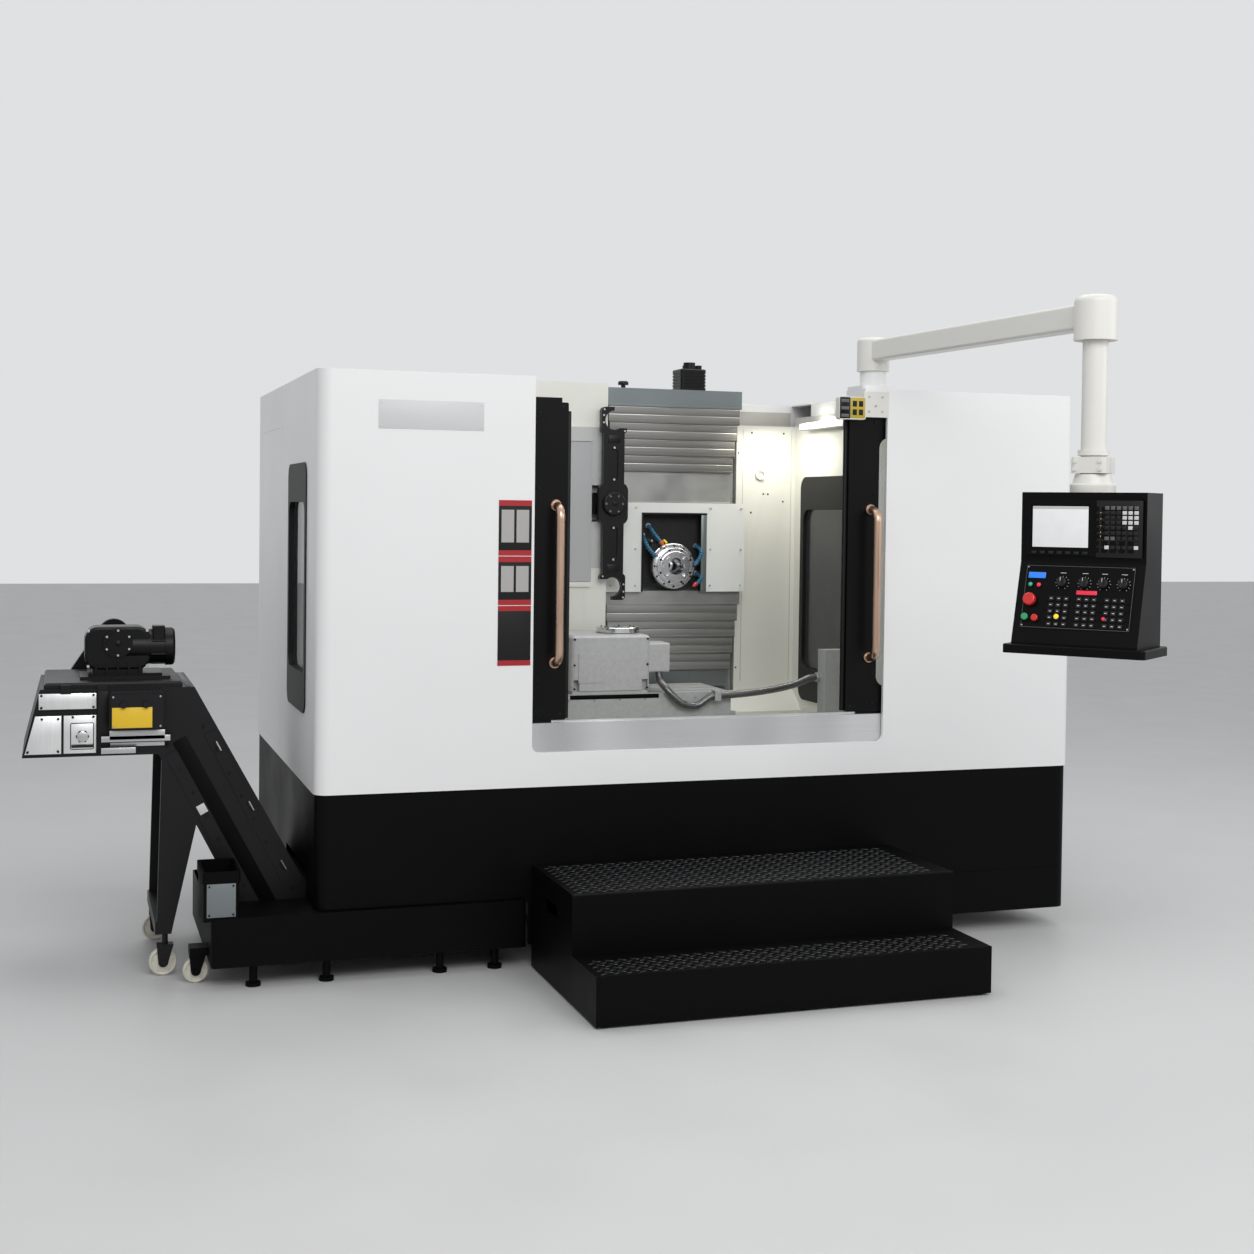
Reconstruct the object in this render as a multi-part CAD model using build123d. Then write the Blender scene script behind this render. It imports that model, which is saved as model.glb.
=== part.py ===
from build123d import *
import math
import os

# Horizontal machining center with a two-leaf front, a rotary table, a tool changer,
# a swinging operator pendant and a chip conveyor on its left.
# X runs along the front to the right, Y runs into the machine, Z is up, millimetres.
# The origin lies on the floor, in the middle of the four foundation bolts.

# Enclosure
FRONT_Y = -890.0
BACK_Y = 890.0
SIDE_X = 1500.0
TOP_Z = 2118.0
PANEL_LOW_Z = 647.0
CORNER_R = 50.0
SHEET = 3.0
FLANGE = 45.0
BOTTOM_FLANGE = 18.0
SEAM_Y = 30.0
SEAM_GAP = 3.0
OPENING_LEFT_X = -728.0
OPENING_RIGHT_X = 665.0
OPENING_LOW_Z = 770.0
OPENING_CORNER_R = 28.0
OPENING_RETURN = 14.0
ROOF_HOLE_LEFT_X = -760.0
ROOF_HOLE_RIGHT_X = 760.0
ROOF_HOLE_BACK_Y = 640.0
REAR_DOOR_FRONT_Y = 90.0
REAR_DOOR_WIDTH = 620.0
REAR_DOOR_TOP_Z = 1955.0
GROOVE = 4.0

# Side windows
WINDOW_Y = -405.0
WINDOW_LENGTH = 470.0
WINDOW_LOW_Z = 905.0
WINDOW_HEIGHT = 890.0
WINDOW_CORNER_R = 45.0
GASKET_WALL = 26.0
GASKET_END = 136.0
GASKET_LIP = 6.0
GLASS = 6.0

# Skirt, plinth and sill
SKIRT_TOP_Z = 641.0
SKIRT_LOW_Z = 80.0
PLINTH_TOP_Z = 245.0
SKIRT_RECESS = 6.0
SILL_TOP_Z = 874.0
SILL_FACE_Y = -873.0
SILL_DEPTH = 84.0
SILL_END_MARGIN = 640.0

# Door leaves
DOOR_WIDTH = 740.0
DOOR_TOP_Z = 2028.0
DOOR_LOW_Z = 884.0
DOOR_FACE_Y = -867.0
DOOR_THICK = 38.0
DOOR_STILE = 128.0
DOOR_EDGE = 70.0
DOOR_RAIL = 95.0
DOOR_GLASS_CORNER_R = 40.0
DOOR_OPEN_LEFT_X = -598.0
DOOR_OPEN_RIGHT_X = 516.0
DOOR_SEAL = 14.0
GUIDE_BLADE = 6.0
GUIDE_LOW_Z = 2037.0
TRACK_WIDTH = 8.0
TRACK_SHARE = 0.3
TRACK_HEIGHT = 7.0

# Door handles
HANDLE_LENGTH = 600.0
HANDLE_R = 15.0
HANDLE_OUT = 63.0
HANDLE_BEND_R = 42.0
HANDLE_Z = 1374.0
HANDLE_FOOT_R = 20.0

# Bed and foundation
BED_HALF_X = 570.0
BED_FRONT_Y = -720.0
BED_BACK_Y = 860.0
BED_TOP_Z = 540.0
BED_FOOT_Z = 40.0
BED_FLANGE = 45.0
BOLT_SPACING_X = 1000.0
BOLT_SPACING_Y = 1300.0
BOLT_HOLE_R = 18.0
PLATE_R = 65.0
SADDLE_RAIL_X = 330.0
SADDLE_RAIL_WIDTH = 45.0
SADDLE_RAIL_HEIGHT = 36.0
SADDLE_RAIL_MID_X = -60.0

# Column and headstock way
COLUMN_X = 165.0
COLUMN_FRONT_Y = 182.0
COLUMN_TOP_Z = 2085.0
CAP_TOP_Z = 2162.0
CAP_LOW_Z = 2085.0
HEAD_RAIL_X = 190.0
HEAD_RAIL_WIDTH = 45.0
HEAD_RAIL_DEPTH = 30.0
AXIS_MOTOR_X = 277.0
AXIS_MOTOR_WIDTH = 118.0
AXIS_MOTOR_HEIGHT = 98.0

# Telescopic way covers
COVER_COUNT = 4
COVER_FACE_Y = 100.0
COVER_STEP = 7.0
COVER_SHEET = 3.0
COVER_WIDTH = 610.0
COVER_SIDE = 58.0
COVER_UP_HEIGHT = 109.0
COVER_DOWN_HEIGHT = 120.0
COVER_LIP = 2.0
COVER_LIP_HEIGHT = 9.0
COVER_GROOVE = 5.0
COVER_GROOVE_DEPTH = 1.4
WIPER_GAP = 0.4
COVERS_LOW_Z = 885.0

# Headstock
HEAD_FRONT_Y = 70.0
HEAD_WIDTH = 628.0
HEAD_LOW_Z = 1298.0
HEAD_TOP_Z = 1677.0
HEAD_PLATE_TOP_Z = 1859.0
HEAD_COVER_STEP_Z = 69.0
HEAD_PLATE_LOW_Z = 1241.0
HEAD_WINDOW_LEFT_X = 7.0
HEAD_WINDOW_RIGHT_X = 303.0
SPINDLE_X = 150.0
SPINDLE_Z = 1408.0
SPINDLE_FACE_Y = 30.0
SPINDLE_NOSE_R = 64.3
SPINDLE_BODY_R = 55.0
TAPER_MOUTH_R = 34.9
TAPER_DEPTH = 101.8
TAPER_RATIO = 7.0 / 24.0
DRAW_HOLE_R = 14.0
NOSE_HOLE_CIRCLE_R = 50.8
NOSE_HOLE_R = 6.9
KEY_WIDTH = 25.4
RUNNING_FIT = 0.05

# Tool changer
CHANGER_X = -150.0
CHANGER_Z = 1670.0
ARM_R = 346.0
ARM_SWING = 60.0
ARM_BACK_Y = 5.0
ARM_THICK = 30.0
ARM_WIDTH = 90.0
JAW_R = 40.0
JAW_WALL = 15.0
HUB_R = 63.0
HUB_HEIGHT = 176.0
RAM_WIDTH = 42.0
RAM_HEIGHT = 90.0
QUILL_R = 30.0
DRUM_AXLE_R = 25.0
LINER_Y = 25.0
DRUM_X = -710.0
POT_COUNT = 16
POT_R = 50.0
POT_MOUTH_R = 35.0
POT_FRONT_Y = 45.0
POT_LENGTH = 105.0
SHUTTER_WIDTH = 350.0
SHUTTER_RIGHT_X = -232.0
SHUTTER_LOW_Z = 1345.0
SHUTTER_TOP_Z = 1926.0

# Work room
ROOM_LEFT_X = -900.0
ROOM_RIGHT_X = 757.0
ROOM_BACK_Y = 170.0
ROOM_TOP_Z = 2060.0
HANGER_LAP = 22.0
ROOM_LOW_Z = 790.0
ROOM_BACK_TOP_Z = 2021.0
HOOD_TOP_Z = 2171.0
HOOD_LEFT_X = -752.0
HOOD_BACK_Y = 600.0
ROOF_FLANGE_RIGHT_X = 925.0
JAMB_X = -165.0
INNER_WINDOW_Y = -150.0
INNER_WINDOW_LENGTH = 478.0
INNER_WINDOW_LOW_Z = 832.0
INNER_WINDOW_HEIGHT = 960.0

# Saddle, table and rotary table
SADDLE_TOP_Z = 768.0
SADDLE_LOW_Z = 584.0
SADDLE_LEFT_X = -510.0
SADDLE_RIGHT_X = 390.0
SADDLE_BACK_Y = 20.0
TABLE_LEFT_X = -700.0
TABLE_RIGHT_X = 250.0
TABLE_FRONT_Y = -355.0
TABLE_BACK_Y = -15.0
TABLE_TOP_Z = 915.0
TABLE_LOW_Z = 780.0
TABLE_RAIL_WIDTH = 34.0
TABLE_RAIL_HEIGHT = 32.0
SLOT_WIDTH = 14.0
SLOT_DEPTH = 26.0
APRON_THICK = 7.0
ROTARY_LEFT_X = -421.0
ROTARY_RIGHT_X = -92.0
ROTARY_FRONT_Y = -345.0
ROTARY_BACK_Y = -30.0
ROTARY_TOP_Z = 1146.0
ROTARY_FOOT_Z = 12.0
FACE_X = -180.0
FACE_Y = -188.0
FACE_R = 88.0
FACE_THICK = 20.0
FACE_BORE_R = 25.0
HOSE_BOX_X = 682.0
HOSE_BOX_WIDTH = 110.0
HOSE_BOX_FRONT_Y = -440.0
HOSE_BOX_DEPTH = 66.0
HOSE_BOX_LOW_Z = 803.0
HOSE_BOX_HEIGHT = 280.0
HOSE_R = 15.0
HOSE_BEND_R = 25.0
HOSE_OUT = 32.0
HOSE_CLIP_X = 178.0
HOSE_CLIP_LENGTH = 26.0
HOSE_CLIP_Z = 903.0

# Operator pendant
POST_X = 645.0
POST_Y = -800.0
POST_R = 50.0
BEARER_HEIGHT = 60.0
MAST_X = 725.0
MAST_Y = -2170.0
MAST_R = 39.0
ELBOW_R = 62.0
POST_HEIGHT = 72.0
ELBOW_HEIGHT = 128.0
BEAM_RISE = 38.0
BEAM_HEIGHT = 80.0
BEAM_WIDTH = 72.0
PENDANT_TURN = -52.0
PENDANT_TOP_Z = 1716.0
PENDANT_SPLIT_Z = 1499.0
PENDANT_LIP_Z = 1240.0
PENDANT_LOW_Z = 1215.0
PENDANT_WIDTH = 394.0
LIP_WIDTH = 446.0
PENDANT_FRONT = 85.0
PENDANT_BACK = 75.0
PENDANT_SLANT = 75.0
LIP_DEPTH = 14.0
SCREEN_UNIT_WIDTH = 364.0
SCREEN_UNIT_HEIGHT = 176.0
SCREEN_UNIT_Z = 1608.0
STEM_R = 6.0

# Chip conveyor
CASE_FRONT_Y = -650.0
CASE_BACK_Y = -110.0
CASE_LOW_Z = 104.0
CASE_TROUGH_HEIGHT = 186.0
CASE_TAIL_X = -770.0
CASE_KNEE_X = -1662.0
CASE_KNEE_WIDTH = 170.0
CASE_ELBOW_X = -2006.0
CASE_ELBOW_WIDTH = 121.0
CASE_HEAD_LOW_Z = 776.0
CASE_HEAD_LENGTH = 448.0
CASE_HEAD_HEIGHT = 232.0
CASE_HEAD_SLOPE = 57.0
CASE_WALL = 4.0
CASE_PLATE = 5.0
BELT_R = 62.0
BELT_THICK = 9.0
BELT_SIDE_GAP = 32.0
BELT_TAIL_GAP = 80.0
BELT_HEAD_GAP = 142.0
FLIGHT_PITCH = 88.0
FLIGHT_HEIGHT = 17.0
SHAFT_R = 19.0
BEARING_R = 46.0
SPROCKET_TEETH = 10
MOTOR_OFFSET = 173.0
MOTOR_R = 62.0
GEAR_WIDTH = 222.0
GEAR_HEIGHT = 152.0
GEAR_DISC_R = 50.0
CASTER_OFFSET = 20.0

# Coolant tank and casters
TANK_LEFT_X = -1845.0
TANK_STEP_GAP = 21.0
TANK_FRONT_Y = -905.0
TANK_BACK_Y = -70.0
TANK_LOW_Z = 77.0
TANK_TOP_Z = 245.0
TANK_END_TOP_Z = 405.0
TANK_WALL = 4.0
WHEEL_R = 48.0
WHEEL_WIDTH = 30.0
AXLE_R = 8.0
TANK_WHEEL_R = 43.0
TANK_WHEEL_OUT = 40.0
TANK_WHEEL_IN = 141.0

# Steps
STEP_LEFT_X = -724.0
STEP_RIGHT_X = 694.0
STEP_BACK_Y = -898.0
STEP_MID_Y = -1399.0
STEP_FRONT_Y = -1670.0
STEP_LOW_Z = 168.0
STEP_TOP_Z = 370.0
STEP_FOOT = 8.0

# Places that follow from the sizes above
COLUMN_WIDTH = COVER_WIDTH - 10.0
ELBOW_LOW_Z = TOP_Z + POST_HEIGHT
ELBOW_TOP_Z = ELBOW_LOW_Z + ELBOW_HEIGHT
BEAM_LOW_Z = ELBOW_LOW_Z + BEAM_RISE
CASE_TROUGH_TOP_Z = CASE_LOW_Z + CASE_TROUGH_HEIGHT
CASE_HEAD_TOP_Z = CASE_HEAD_LOW_Z + CASE_HEAD_HEIGHT
CASE_FOOT_X = CASE_KNEE_X + CASE_KNEE_WIDTH
CASE_HEAD_RIGHT_X = CASE_ELBOW_X + CASE_ELBOW_WIDTH
CASE_MOUTH_X = CASE_ELBOW_X - CASE_HEAD_LENGTH
BELT_TAIL_X = CASE_TAIL_X - BELT_TAIL_GAP
BELT_KNEE_X = (CASE_KNEE_X + CASE_FOOT_X) / 2
BELT_ELBOW_X = (CASE_ELBOW_X + CASE_HEAD_RIGHT_X) / 2
BELT_HEAD_X = CASE_MOUTH_X + BELT_HEAD_GAP
BELT_LOW_Z = CASE_LOW_Z + CASE_TROUGH_HEIGHT / 2
BELT_TOP_Z = CASE_HEAD_LOW_Z + CASE_HEAD_HEIGHT / 2
MOTOR_X = BELT_HEAD_X + MOTOR_OFFSET
CASTER_X = CASE_ELBOW_X + CASTER_OFFSET
TANK_RIGHT_X = STEP_LEFT_X - TANK_STEP_GAP
TANK_WHEEL_X = TANK_LEFT_X - TANK_WHEEL_OUT
TANK_WHEEL_Y = TANK_FRONT_Y + TANK_WHEEL_IN


def block(x, y, z):
    """A box given by its low and high corner along each axis."""
    middle = Pos((x[0] + x[1]) / 2, (y[0] + y[1]) / 2, (z[0] + z[1]) / 2)
    return middle * Box(x[1] - x[0], y[1] - y[0], z[1] - z[0])


def along_x(drawing, x0, x1):
    """A drawing in Y and Z, drawn out along X."""
    plane = Plane(origin=(x0, 0, 0), x_dir=(0, 1, 0), z_dir=(1, 0, 0))
    return extrude(plane * drawing, x1 - x0)


def along_y(drawing, y0, y1):
    """A drawing in X and Z, drawn out along Y."""
    plane = Plane(origin=(0, y1, 0), x_dir=(1, 0, 0), z_dir=(0, -1, 0))
    return extrude(plane * drawing, y1 - y0)


def along_z(drawing, z0, z1):
    """A drawing in X and Y, drawn out along Z."""
    return extrude(Pos(0, 0, z0) * drawing, z1 - z0)


def outline(points):
    return make_face(Polyline(*points, close=True))


def rectangle(u, v, radius=0.0):
    """A rectangle between two low and high values, with round corners."""
    place = Pos((u[0] + u[1]) / 2, (v[0] + v[1]) / 2)
    if radius > 0:
        return place * RectangleRounded(u[1] - u[0], v[1] - v[0], radius)
    return place * Rectangle(u[1] - u[0], v[1] - v[0])


def disc(u, v, radius):
    return Pos(u, v) * Circle(radius)


def mirrored_x(shape):
    return mirror(shape, about=Plane.YZ)


# Foundation and bed

def bolt_places():
    half_x = BOLT_SPACING_X / 2
    half_y = BOLT_SPACING_Y / 2
    return [(sx * half_x, sy * half_y) for sx in (-1, 1) for sy in (-1, 1)]


def levelling_plates():
    """The round plates under the bed's foundation bolts."""
    plates = []
    for x, y in bolt_places():
        plate = along_z(disc(x, y, PLATE_R), 0, BED_FOOT_Z)
        plate = chamfer(plate.edges().group_by(Axis.Z)[-1], 6)
        plates.append(plate - along_z(disc(x, y, BOLT_HOLE_R), -1, BED_FOOT_Z + 1))
    return plates


def bed():
    x = (-BED_HALF_X + BED_FLANGE, BED_HALF_X - BED_FLANGE)
    y = (BED_FRONT_Y + BED_FLANGE, BED_BACK_Y - BED_FLANGE)
    body = along_z(rectangle(x, y, 40), BED_FOOT_Z, BED_TOP_Z)
    sole = along_z(
        rectangle((-BED_HALF_X, BED_HALF_X), (BED_FRONT_Y, BED_BACK_Y), 60),
        BED_FOOT_Z, BED_FOOT_Z + 45)
    body += sole
    pocket_low = BED_FOOT_Z + 45
    pocket_top = pocket_low + 190
    for px, py in bolt_places():
        reach = 85
        cut = rectangle((px - reach, px + reach), (py - reach, py + reach), 20)
        body -= along_z(cut, pocket_low, pocket_top)
        body -= along_z(disc(px, py, BOLT_HOLE_R), BED_FOOT_Z - 1, pocket_low + 1)
    core_y = (BED_FRONT_Y + BED_FLANGE + 200, BED_BACK_Y - BED_FLANGE - 200)
    bays = 3
    pitch = (core_y[1] - core_y[0]) / bays
    for i in range(bays):
        low = core_y[0] + i * pitch + 35
        window = rectangle((low, low + pitch - 70), (pocket_low + 60, BED_TOP_Z - 110), 40)
        body -= along_x(window, -BED_HALF_X - 1, -BED_HALF_X + BED_FLANGE + 60)
        body -= along_x(window, BED_HALF_X - BED_FLANGE - 60, BED_HALF_X + 1)
    for side in (-1, 1):
        middle = SADDLE_RAIL_MID_X + side * SADDLE_RAIL_X
        half = SADDLE_RAIL_WIDTH / 2
        rail = block((middle - half, middle + half), (BED_FRONT_Y + BED_FLANGE + 8, 130),
                     (BED_TOP_Z, BED_TOP_Z + SADDLE_RAIL_HEIGHT))
        body += rail
    for plate in levelling_plates():
        body += plate
    return body


# Enclosure sheets

def shell_ring(recess, low, high, wall):
    """A round-cornered sheet-metal ring round the machine."""
    x = SIDE_X - recess
    y = BACK_Y - recess
    radius = CORNER_R - recess
    outer = rectangle((-x, x), (-y, y), radius)
    inner = rectangle((-x + wall, x - wall), (-y + wall, y - wall), radius - wall)
    return along_z(outer - inner, low, high)


def side_window_drawing(grow):
    y = (WINDOW_Y - WINDOW_LENGTH / 2 - grow, WINDOW_Y + WINDOW_LENGTH / 2 + grow)
    z = (WINDOW_LOW_Z - grow, WINDOW_LOW_Z + WINDOW_HEIGHT + grow)
    return rectangle(y, z, WINDOW_CORNER_R + grow)


def opening_drawing(grow):
    x = (OPENING_LEFT_X - grow, OPENING_RIGHT_X + grow)
    z = (OPENING_LOW_Z - grow, TOP_Z + 400)
    return rectangle(x, z, OPENING_CORNER_R + grow)


def pendant_post():
    base_z = TOP_Z - 0.5
    foot = along_z(rectangle((POST_X - 75, POST_X + 75), (POST_Y - 75, POST_Y + 75), 12),
                   base_z, base_z + 14)
    bearer = block((POST_X - 75, POST_X + 75), (FRONT_Y + 1, POST_Y + 75),
                   (TOP_Z - BEARER_HEIGHT, base_z + 1))
    post = along_z(disc(POST_X, POST_Y, POST_R), base_z, ELBOW_LOW_Z - 0.5)
    spigot = along_z(disc(POST_X, POST_Y, 30), base_z, ELBOW_LOW_Z + 60)
    return foot + bearer + post + spigot


def door_guide(x0, x1):
    """The channel behind the panel that keeps a leaf's top edge in line."""
    middle = DOOR_FACE_Y + DOOR_THICK / 2
    channel = block((x0, x1), (middle - 11, middle + 11), (GUIDE_LOW_Z, GUIDE_LOW_Z + 16))
    gap = GUIDE_BLADE / 2 + 1
    channel -= block((x0 - 1, x1 + 1), (middle - gap, middle + gap),
                     (GUIDE_LOW_Z - 1, GUIDE_LOW_Z + 12))
    for x in (x0, (x0 + x1) / 2, x1 - 40):
        channel += block((x, x + 40), (FRONT_Y + 1, middle - 9), (GUIDE_LOW_Z + 8, GUIDE_LOW_Z + 16))
    return channel


def front_fascia():
    sheet = shell_ring(0, PANEL_LOW_Z, TOP_Z, SHEET)
    sheet += shell_ring(0, TOP_Z - SHEET, TOP_Z, FLANGE)
    sheet += shell_ring(0, PANEL_LOW_Z, PANEL_LOW_Z + SHEET, BOTTOM_FLANGE)
    front_part = block((-SIDE_X - 1, SIDE_X + 1), (FRONT_Y - 1, SEAM_Y),
                       (PANEL_LOW_Z - 1, TOP_Z + 1))
    sheet = sheet & front_part
    lip = opening_drawing(SHEET) - opening_drawing(0)
    lip_height = rectangle((-SIDE_X, SIDE_X), (PANEL_LOW_Z, TOP_Z))
    sheet += along_y(lip & lip_height, FRONT_Y, FRONT_Y + OPENING_RETURN)
    sheet -= along_y(opening_drawing(0), FRONT_Y - 1, FRONT_Y + FLANGE + 5)
    for x in (-SIDE_X, SIDE_X):
        sheet -= along_x(side_window_drawing(0), x - 10, x + 10)
    far_left = DOOR_OPEN_LEFT_X - DOOR_WIDTH - 4
    far_right = DOOR_OPEN_RIGHT_X + DOOR_WIDTH + 4
    guides = door_guide(far_left, OPENING_LEFT_X - 6) + door_guide(POST_X + 80, far_right)
    return sheet + guides + pendant_post()


def door_groove(u, v):
    return rectangle(u, v, 12) - rectangle((u[0] + GROOVE, u[1] - GROOVE),
                                           (v[0] + GROOVE, v[1] - GROOVE), 8)


def rear_shell():
    sheet = shell_ring(0, PANEL_LOW_Z, TOP_Z, SHEET)
    sheet += shell_ring(0, PANEL_LOW_Z, PANEL_LOW_Z + SHEET, BOTTOM_FLANGE)
    back_part = block((-SIDE_X - 1, SIDE_X + 1), (SEAM_Y + SEAM_GAP, BACK_Y + 1),
                      (PANEL_LOW_Z - 1, TOP_Z + 1))
    sheet = sheet & back_part
    hole = rectangle((ROOF_HOLE_LEFT_X, ROOF_HOLE_RIGHT_X), (FRONT_Y - 50, ROOF_HOLE_BACK_Y))
    notch_x = COLUMN_X + COVER_WIDTH / 2 + 14
    flange_y = COLUMN_FRONT_Y + 44
    hole -= rectangle((notch_x, ROOF_HOLE_RIGHT_X + 1), (flange_y, ROOF_HOLE_BACK_Y + 1))
    under = TOP_Z - SHEET - 0.2
    inset = SHEET + 0.5
    field = rectangle((-SIDE_X + inset, SIDE_X - inset), (FRONT_Y + inset, BACK_Y - inset),
                      CORNER_R - inset)
    roof = along_z(field - hole, under - SHEET, under)
    roof += block((notch_x, ROOF_FLANGE_RIGHT_X), (flange_y, flange_y + SHEET), (ROOM_BACK_TOP_Z, under))
    whole = rectangle((-SIDE_X, SIDE_X), (-BACK_Y, BACK_Y), CORNER_R)
    behind = rectangle((-SIDE_X, SIDE_X), (SEAM_Y + SEAM_GAP, BACK_Y))
    rear_band = along_z((whole & behind) - hole, under - SHEET, TOP_Z)
    for x0 in (ROOM_LEFT_X - 2 * SHEET, ROOM_RIGHT_X + SHEET):
        roof += block((x0, x0 + SHEET), (FRONT_Y + 110, SEAM_Y - 12), (ROOM_TOP_Z - HANGER_LAP, under))
    sheet += roof + rear_band
    door_y = (REAR_DOOR_FRONT_Y, REAR_DOOR_FRONT_Y + REAR_DOOR_WIDTH)
    door_z = (PANEL_LOW_Z + 45, REAR_DOOR_TOP_Z)
    for x0, x1 in ((-SIDE_X - 1, -SIDE_X + 1.5), (SIDE_X - 1.5, SIDE_X + 1)):
        sheet -= along_x(door_groove(door_y, door_z), x0, x1)
    for middle in (-900, 0, 900):
        groove = door_groove((middle - 380, middle + 380), door_z)
        sheet -= along_y(groove, BACK_Y - 1.5, BACK_Y + 1)
    return sheet


def glass_drawing(drawing_of, extra):
    """The clear field that a gasket leaves free, with slim sides and deep ends."""
    y, z = drawing_of
    return rectangle((y[0] + GASKET_WALL - extra, y[1] - GASKET_WALL + extra),
                     (z[0] + GASKET_END - extra, z[1] - GASKET_END + extra), WINDOW_CORNER_R)


def side_window_size():
    return ((WINDOW_Y - WINDOW_LENGTH / 2, WINDOW_Y + WINDOW_LENGTH / 2),
            (WINDOW_LOW_Z, WINDOW_LOW_Z + WINDOW_HEIGHT))


def inner_window_size():
    return ((INNER_WINDOW_Y - INNER_WINDOW_LENGTH / 2, INNER_WINDOW_Y + INNER_WINDOW_LENGTH / 2),
            (INNER_WINDOW_LOW_Z, INNER_WINDOW_LOW_Z + INNER_WINDOW_HEIGHT))


def gasket(size, drawing_of, x, way):
    """A rubber frame over the edge of a cut-out, with its lip on the side named by way."""
    band = drawing_of(GASKET_LIP) - glass_drawing(size, 0)
    neck = drawing_of(-0.3) - glass_drawing(size, 0)
    lip = (x + way * 5, x)
    ring = along_x(band, min(lip), max(lip))
    body = (x + way, x - way * 12)
    return ring + along_x(neck, min(body), max(body))


def window_gaskets():
    left = gasket(side_window_size(), side_window_drawing, -SIDE_X, -1)
    inner = gasket(inner_window_size(), inner_window_drawing, ROOM_RIGHT_X, -1)
    return Compound(children=[left, mirrored_x(left), inner])


def side_windows():
    pane = along_x(glass_drawing(side_window_size(), 14), -SIDE_X + 12, -SIDE_X + 12 + GLASS)
    inner = along_x(glass_drawing(inner_window_size(), 14),
                    ROOM_RIGHT_X + 12, ROOM_RIGHT_X + 12 + GLASS)
    return Compound(children=[pane, mirrored_x(pane), inner])


def skirt():
    ring = shell_ring(SKIRT_RECESS, SKIRT_LOW_Z, SKIRT_TOP_Z, SHEET)
    ring += shell_ring(SKIRT_RECESS, SKIRT_TOP_Z - SHEET, SKIRT_TOP_Z, 60)
    ring += shell_ring(SKIRT_RECESS + 2, SKIRT_TOP_Z - 1, PANEL_LOW_Z, BOTTOM_FLANGE - 8)
    ring -= shell_ring(SKIRT_RECESS - 1, PLINTH_TOP_Z - 1.5, PLINTH_TOP_Z + 1.5, 2.2)
    ring -= block((-SIDE_X - 20, TANK_RIGHT_X + 10), (TANK_FRONT_Y - 20, TANK_BACK_Y + 10),
                  (SKIRT_LOW_Z - 1, PLINTH_TOP_Z + 3))
    ring -= block((-SIDE_X - 20, -SIDE_X + 90), (CASE_FRONT_Y - 12, CASE_BACK_Y + 12),
                  (SKIRT_LOW_Z - 1, CASE_TROUGH_TOP_Z + 50))
    inside = SIDE_X - SKIRT_RECESS - SHEET + 1
    bed_side = BED_HALF_X - BED_FLANGE
    for y in (-500, 0, 500):
        ring += block((bed_side, inside), (y - 30, y + 30), (BED_TOP_Z - 70, BED_TOP_Z - 10))
    for y in (230, 700):
        ring += block((-inside, -bed_side), (y - 30, y + 30), (BED_TOP_Z - 70, BED_TOP_Z - 10))
    return ring


def sill():
    back = SILL_FACE_Y + SILL_DEPTH
    track = SILL_FACE_Y + SILL_DEPTH * TRACK_SHARE
    profile = outline([
        (SILL_FACE_Y, OPENING_LOW_Z - 20),
        (SILL_FACE_Y, SILL_TOP_Z),
        (track - TRACK_WIDTH / 2, SILL_TOP_Z),
        (track - TRACK_WIDTH / 2, SILL_TOP_Z + TRACK_HEIGHT),
        (track + TRACK_WIDTH / 2, SILL_TOP_Z + TRACK_HEIGHT),
        (track + TRACK_WIDTH / 2, SILL_TOP_Z),
        (back, SILL_TOP_Z - 6),
        (back, SILL_TOP_Z - 60),
        (back - SHEET, SILL_TOP_Z - 60),
        (back - SHEET, SILL_TOP_Z - 6 - SHEET),
        (SILL_FACE_Y + SHEET, SILL_TOP_Z - SHEET),
        (SILL_FACE_Y + SHEET, OPENING_LOW_Z - 20),
    ])
    left = OPENING_LEFT_X - SILL_END_MARGIN
    right = OPENING_RIGHT_X + SILL_END_MARGIN
    strip = along_x(profile, left, right)
    front = FRONT_Y + SHEET
    for x0, x1 in ((left, left + 60), (right - 60, right)):
        strip += block((x0, x1), (front, SILL_FACE_Y + 1), (OPENING_LOW_Z - 20, SILL_TOP_Z - 20))
    return strip


# Work room

def inner_window_drawing(grow):
    y = (INNER_WINDOW_Y - INNER_WINDOW_LENGTH / 2 - grow,
         INNER_WINDOW_Y + INNER_WINDOW_LENGTH / 2 + grow)
    z = (INNER_WINDOW_LOW_Z - grow, INNER_WINDOW_LOW_Z + INNER_WINDOW_HEIGHT + grow)
    return rectangle(y, z, WINDOW_CORNER_R + grow)


def room_wall(points):
    """A folded wall sheet from the middle line of its plan."""
    return along_z(trace(Polyline(*points), SHEET), ROOM_LOW_Z, ROOM_TOP_Z)


def room_front():
    return SILL_FACE_Y + SILL_DEPTH


def pot_place():
    """Where the tool changer takes a tool out of the magazine."""
    rise = ARM_R * math.sin(math.acos((CHANGER_X - SPINDLE_X) / -ARM_R))
    return 2 * CHANGER_X - SPINDLE_X, CHANGER_Z + rise


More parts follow.
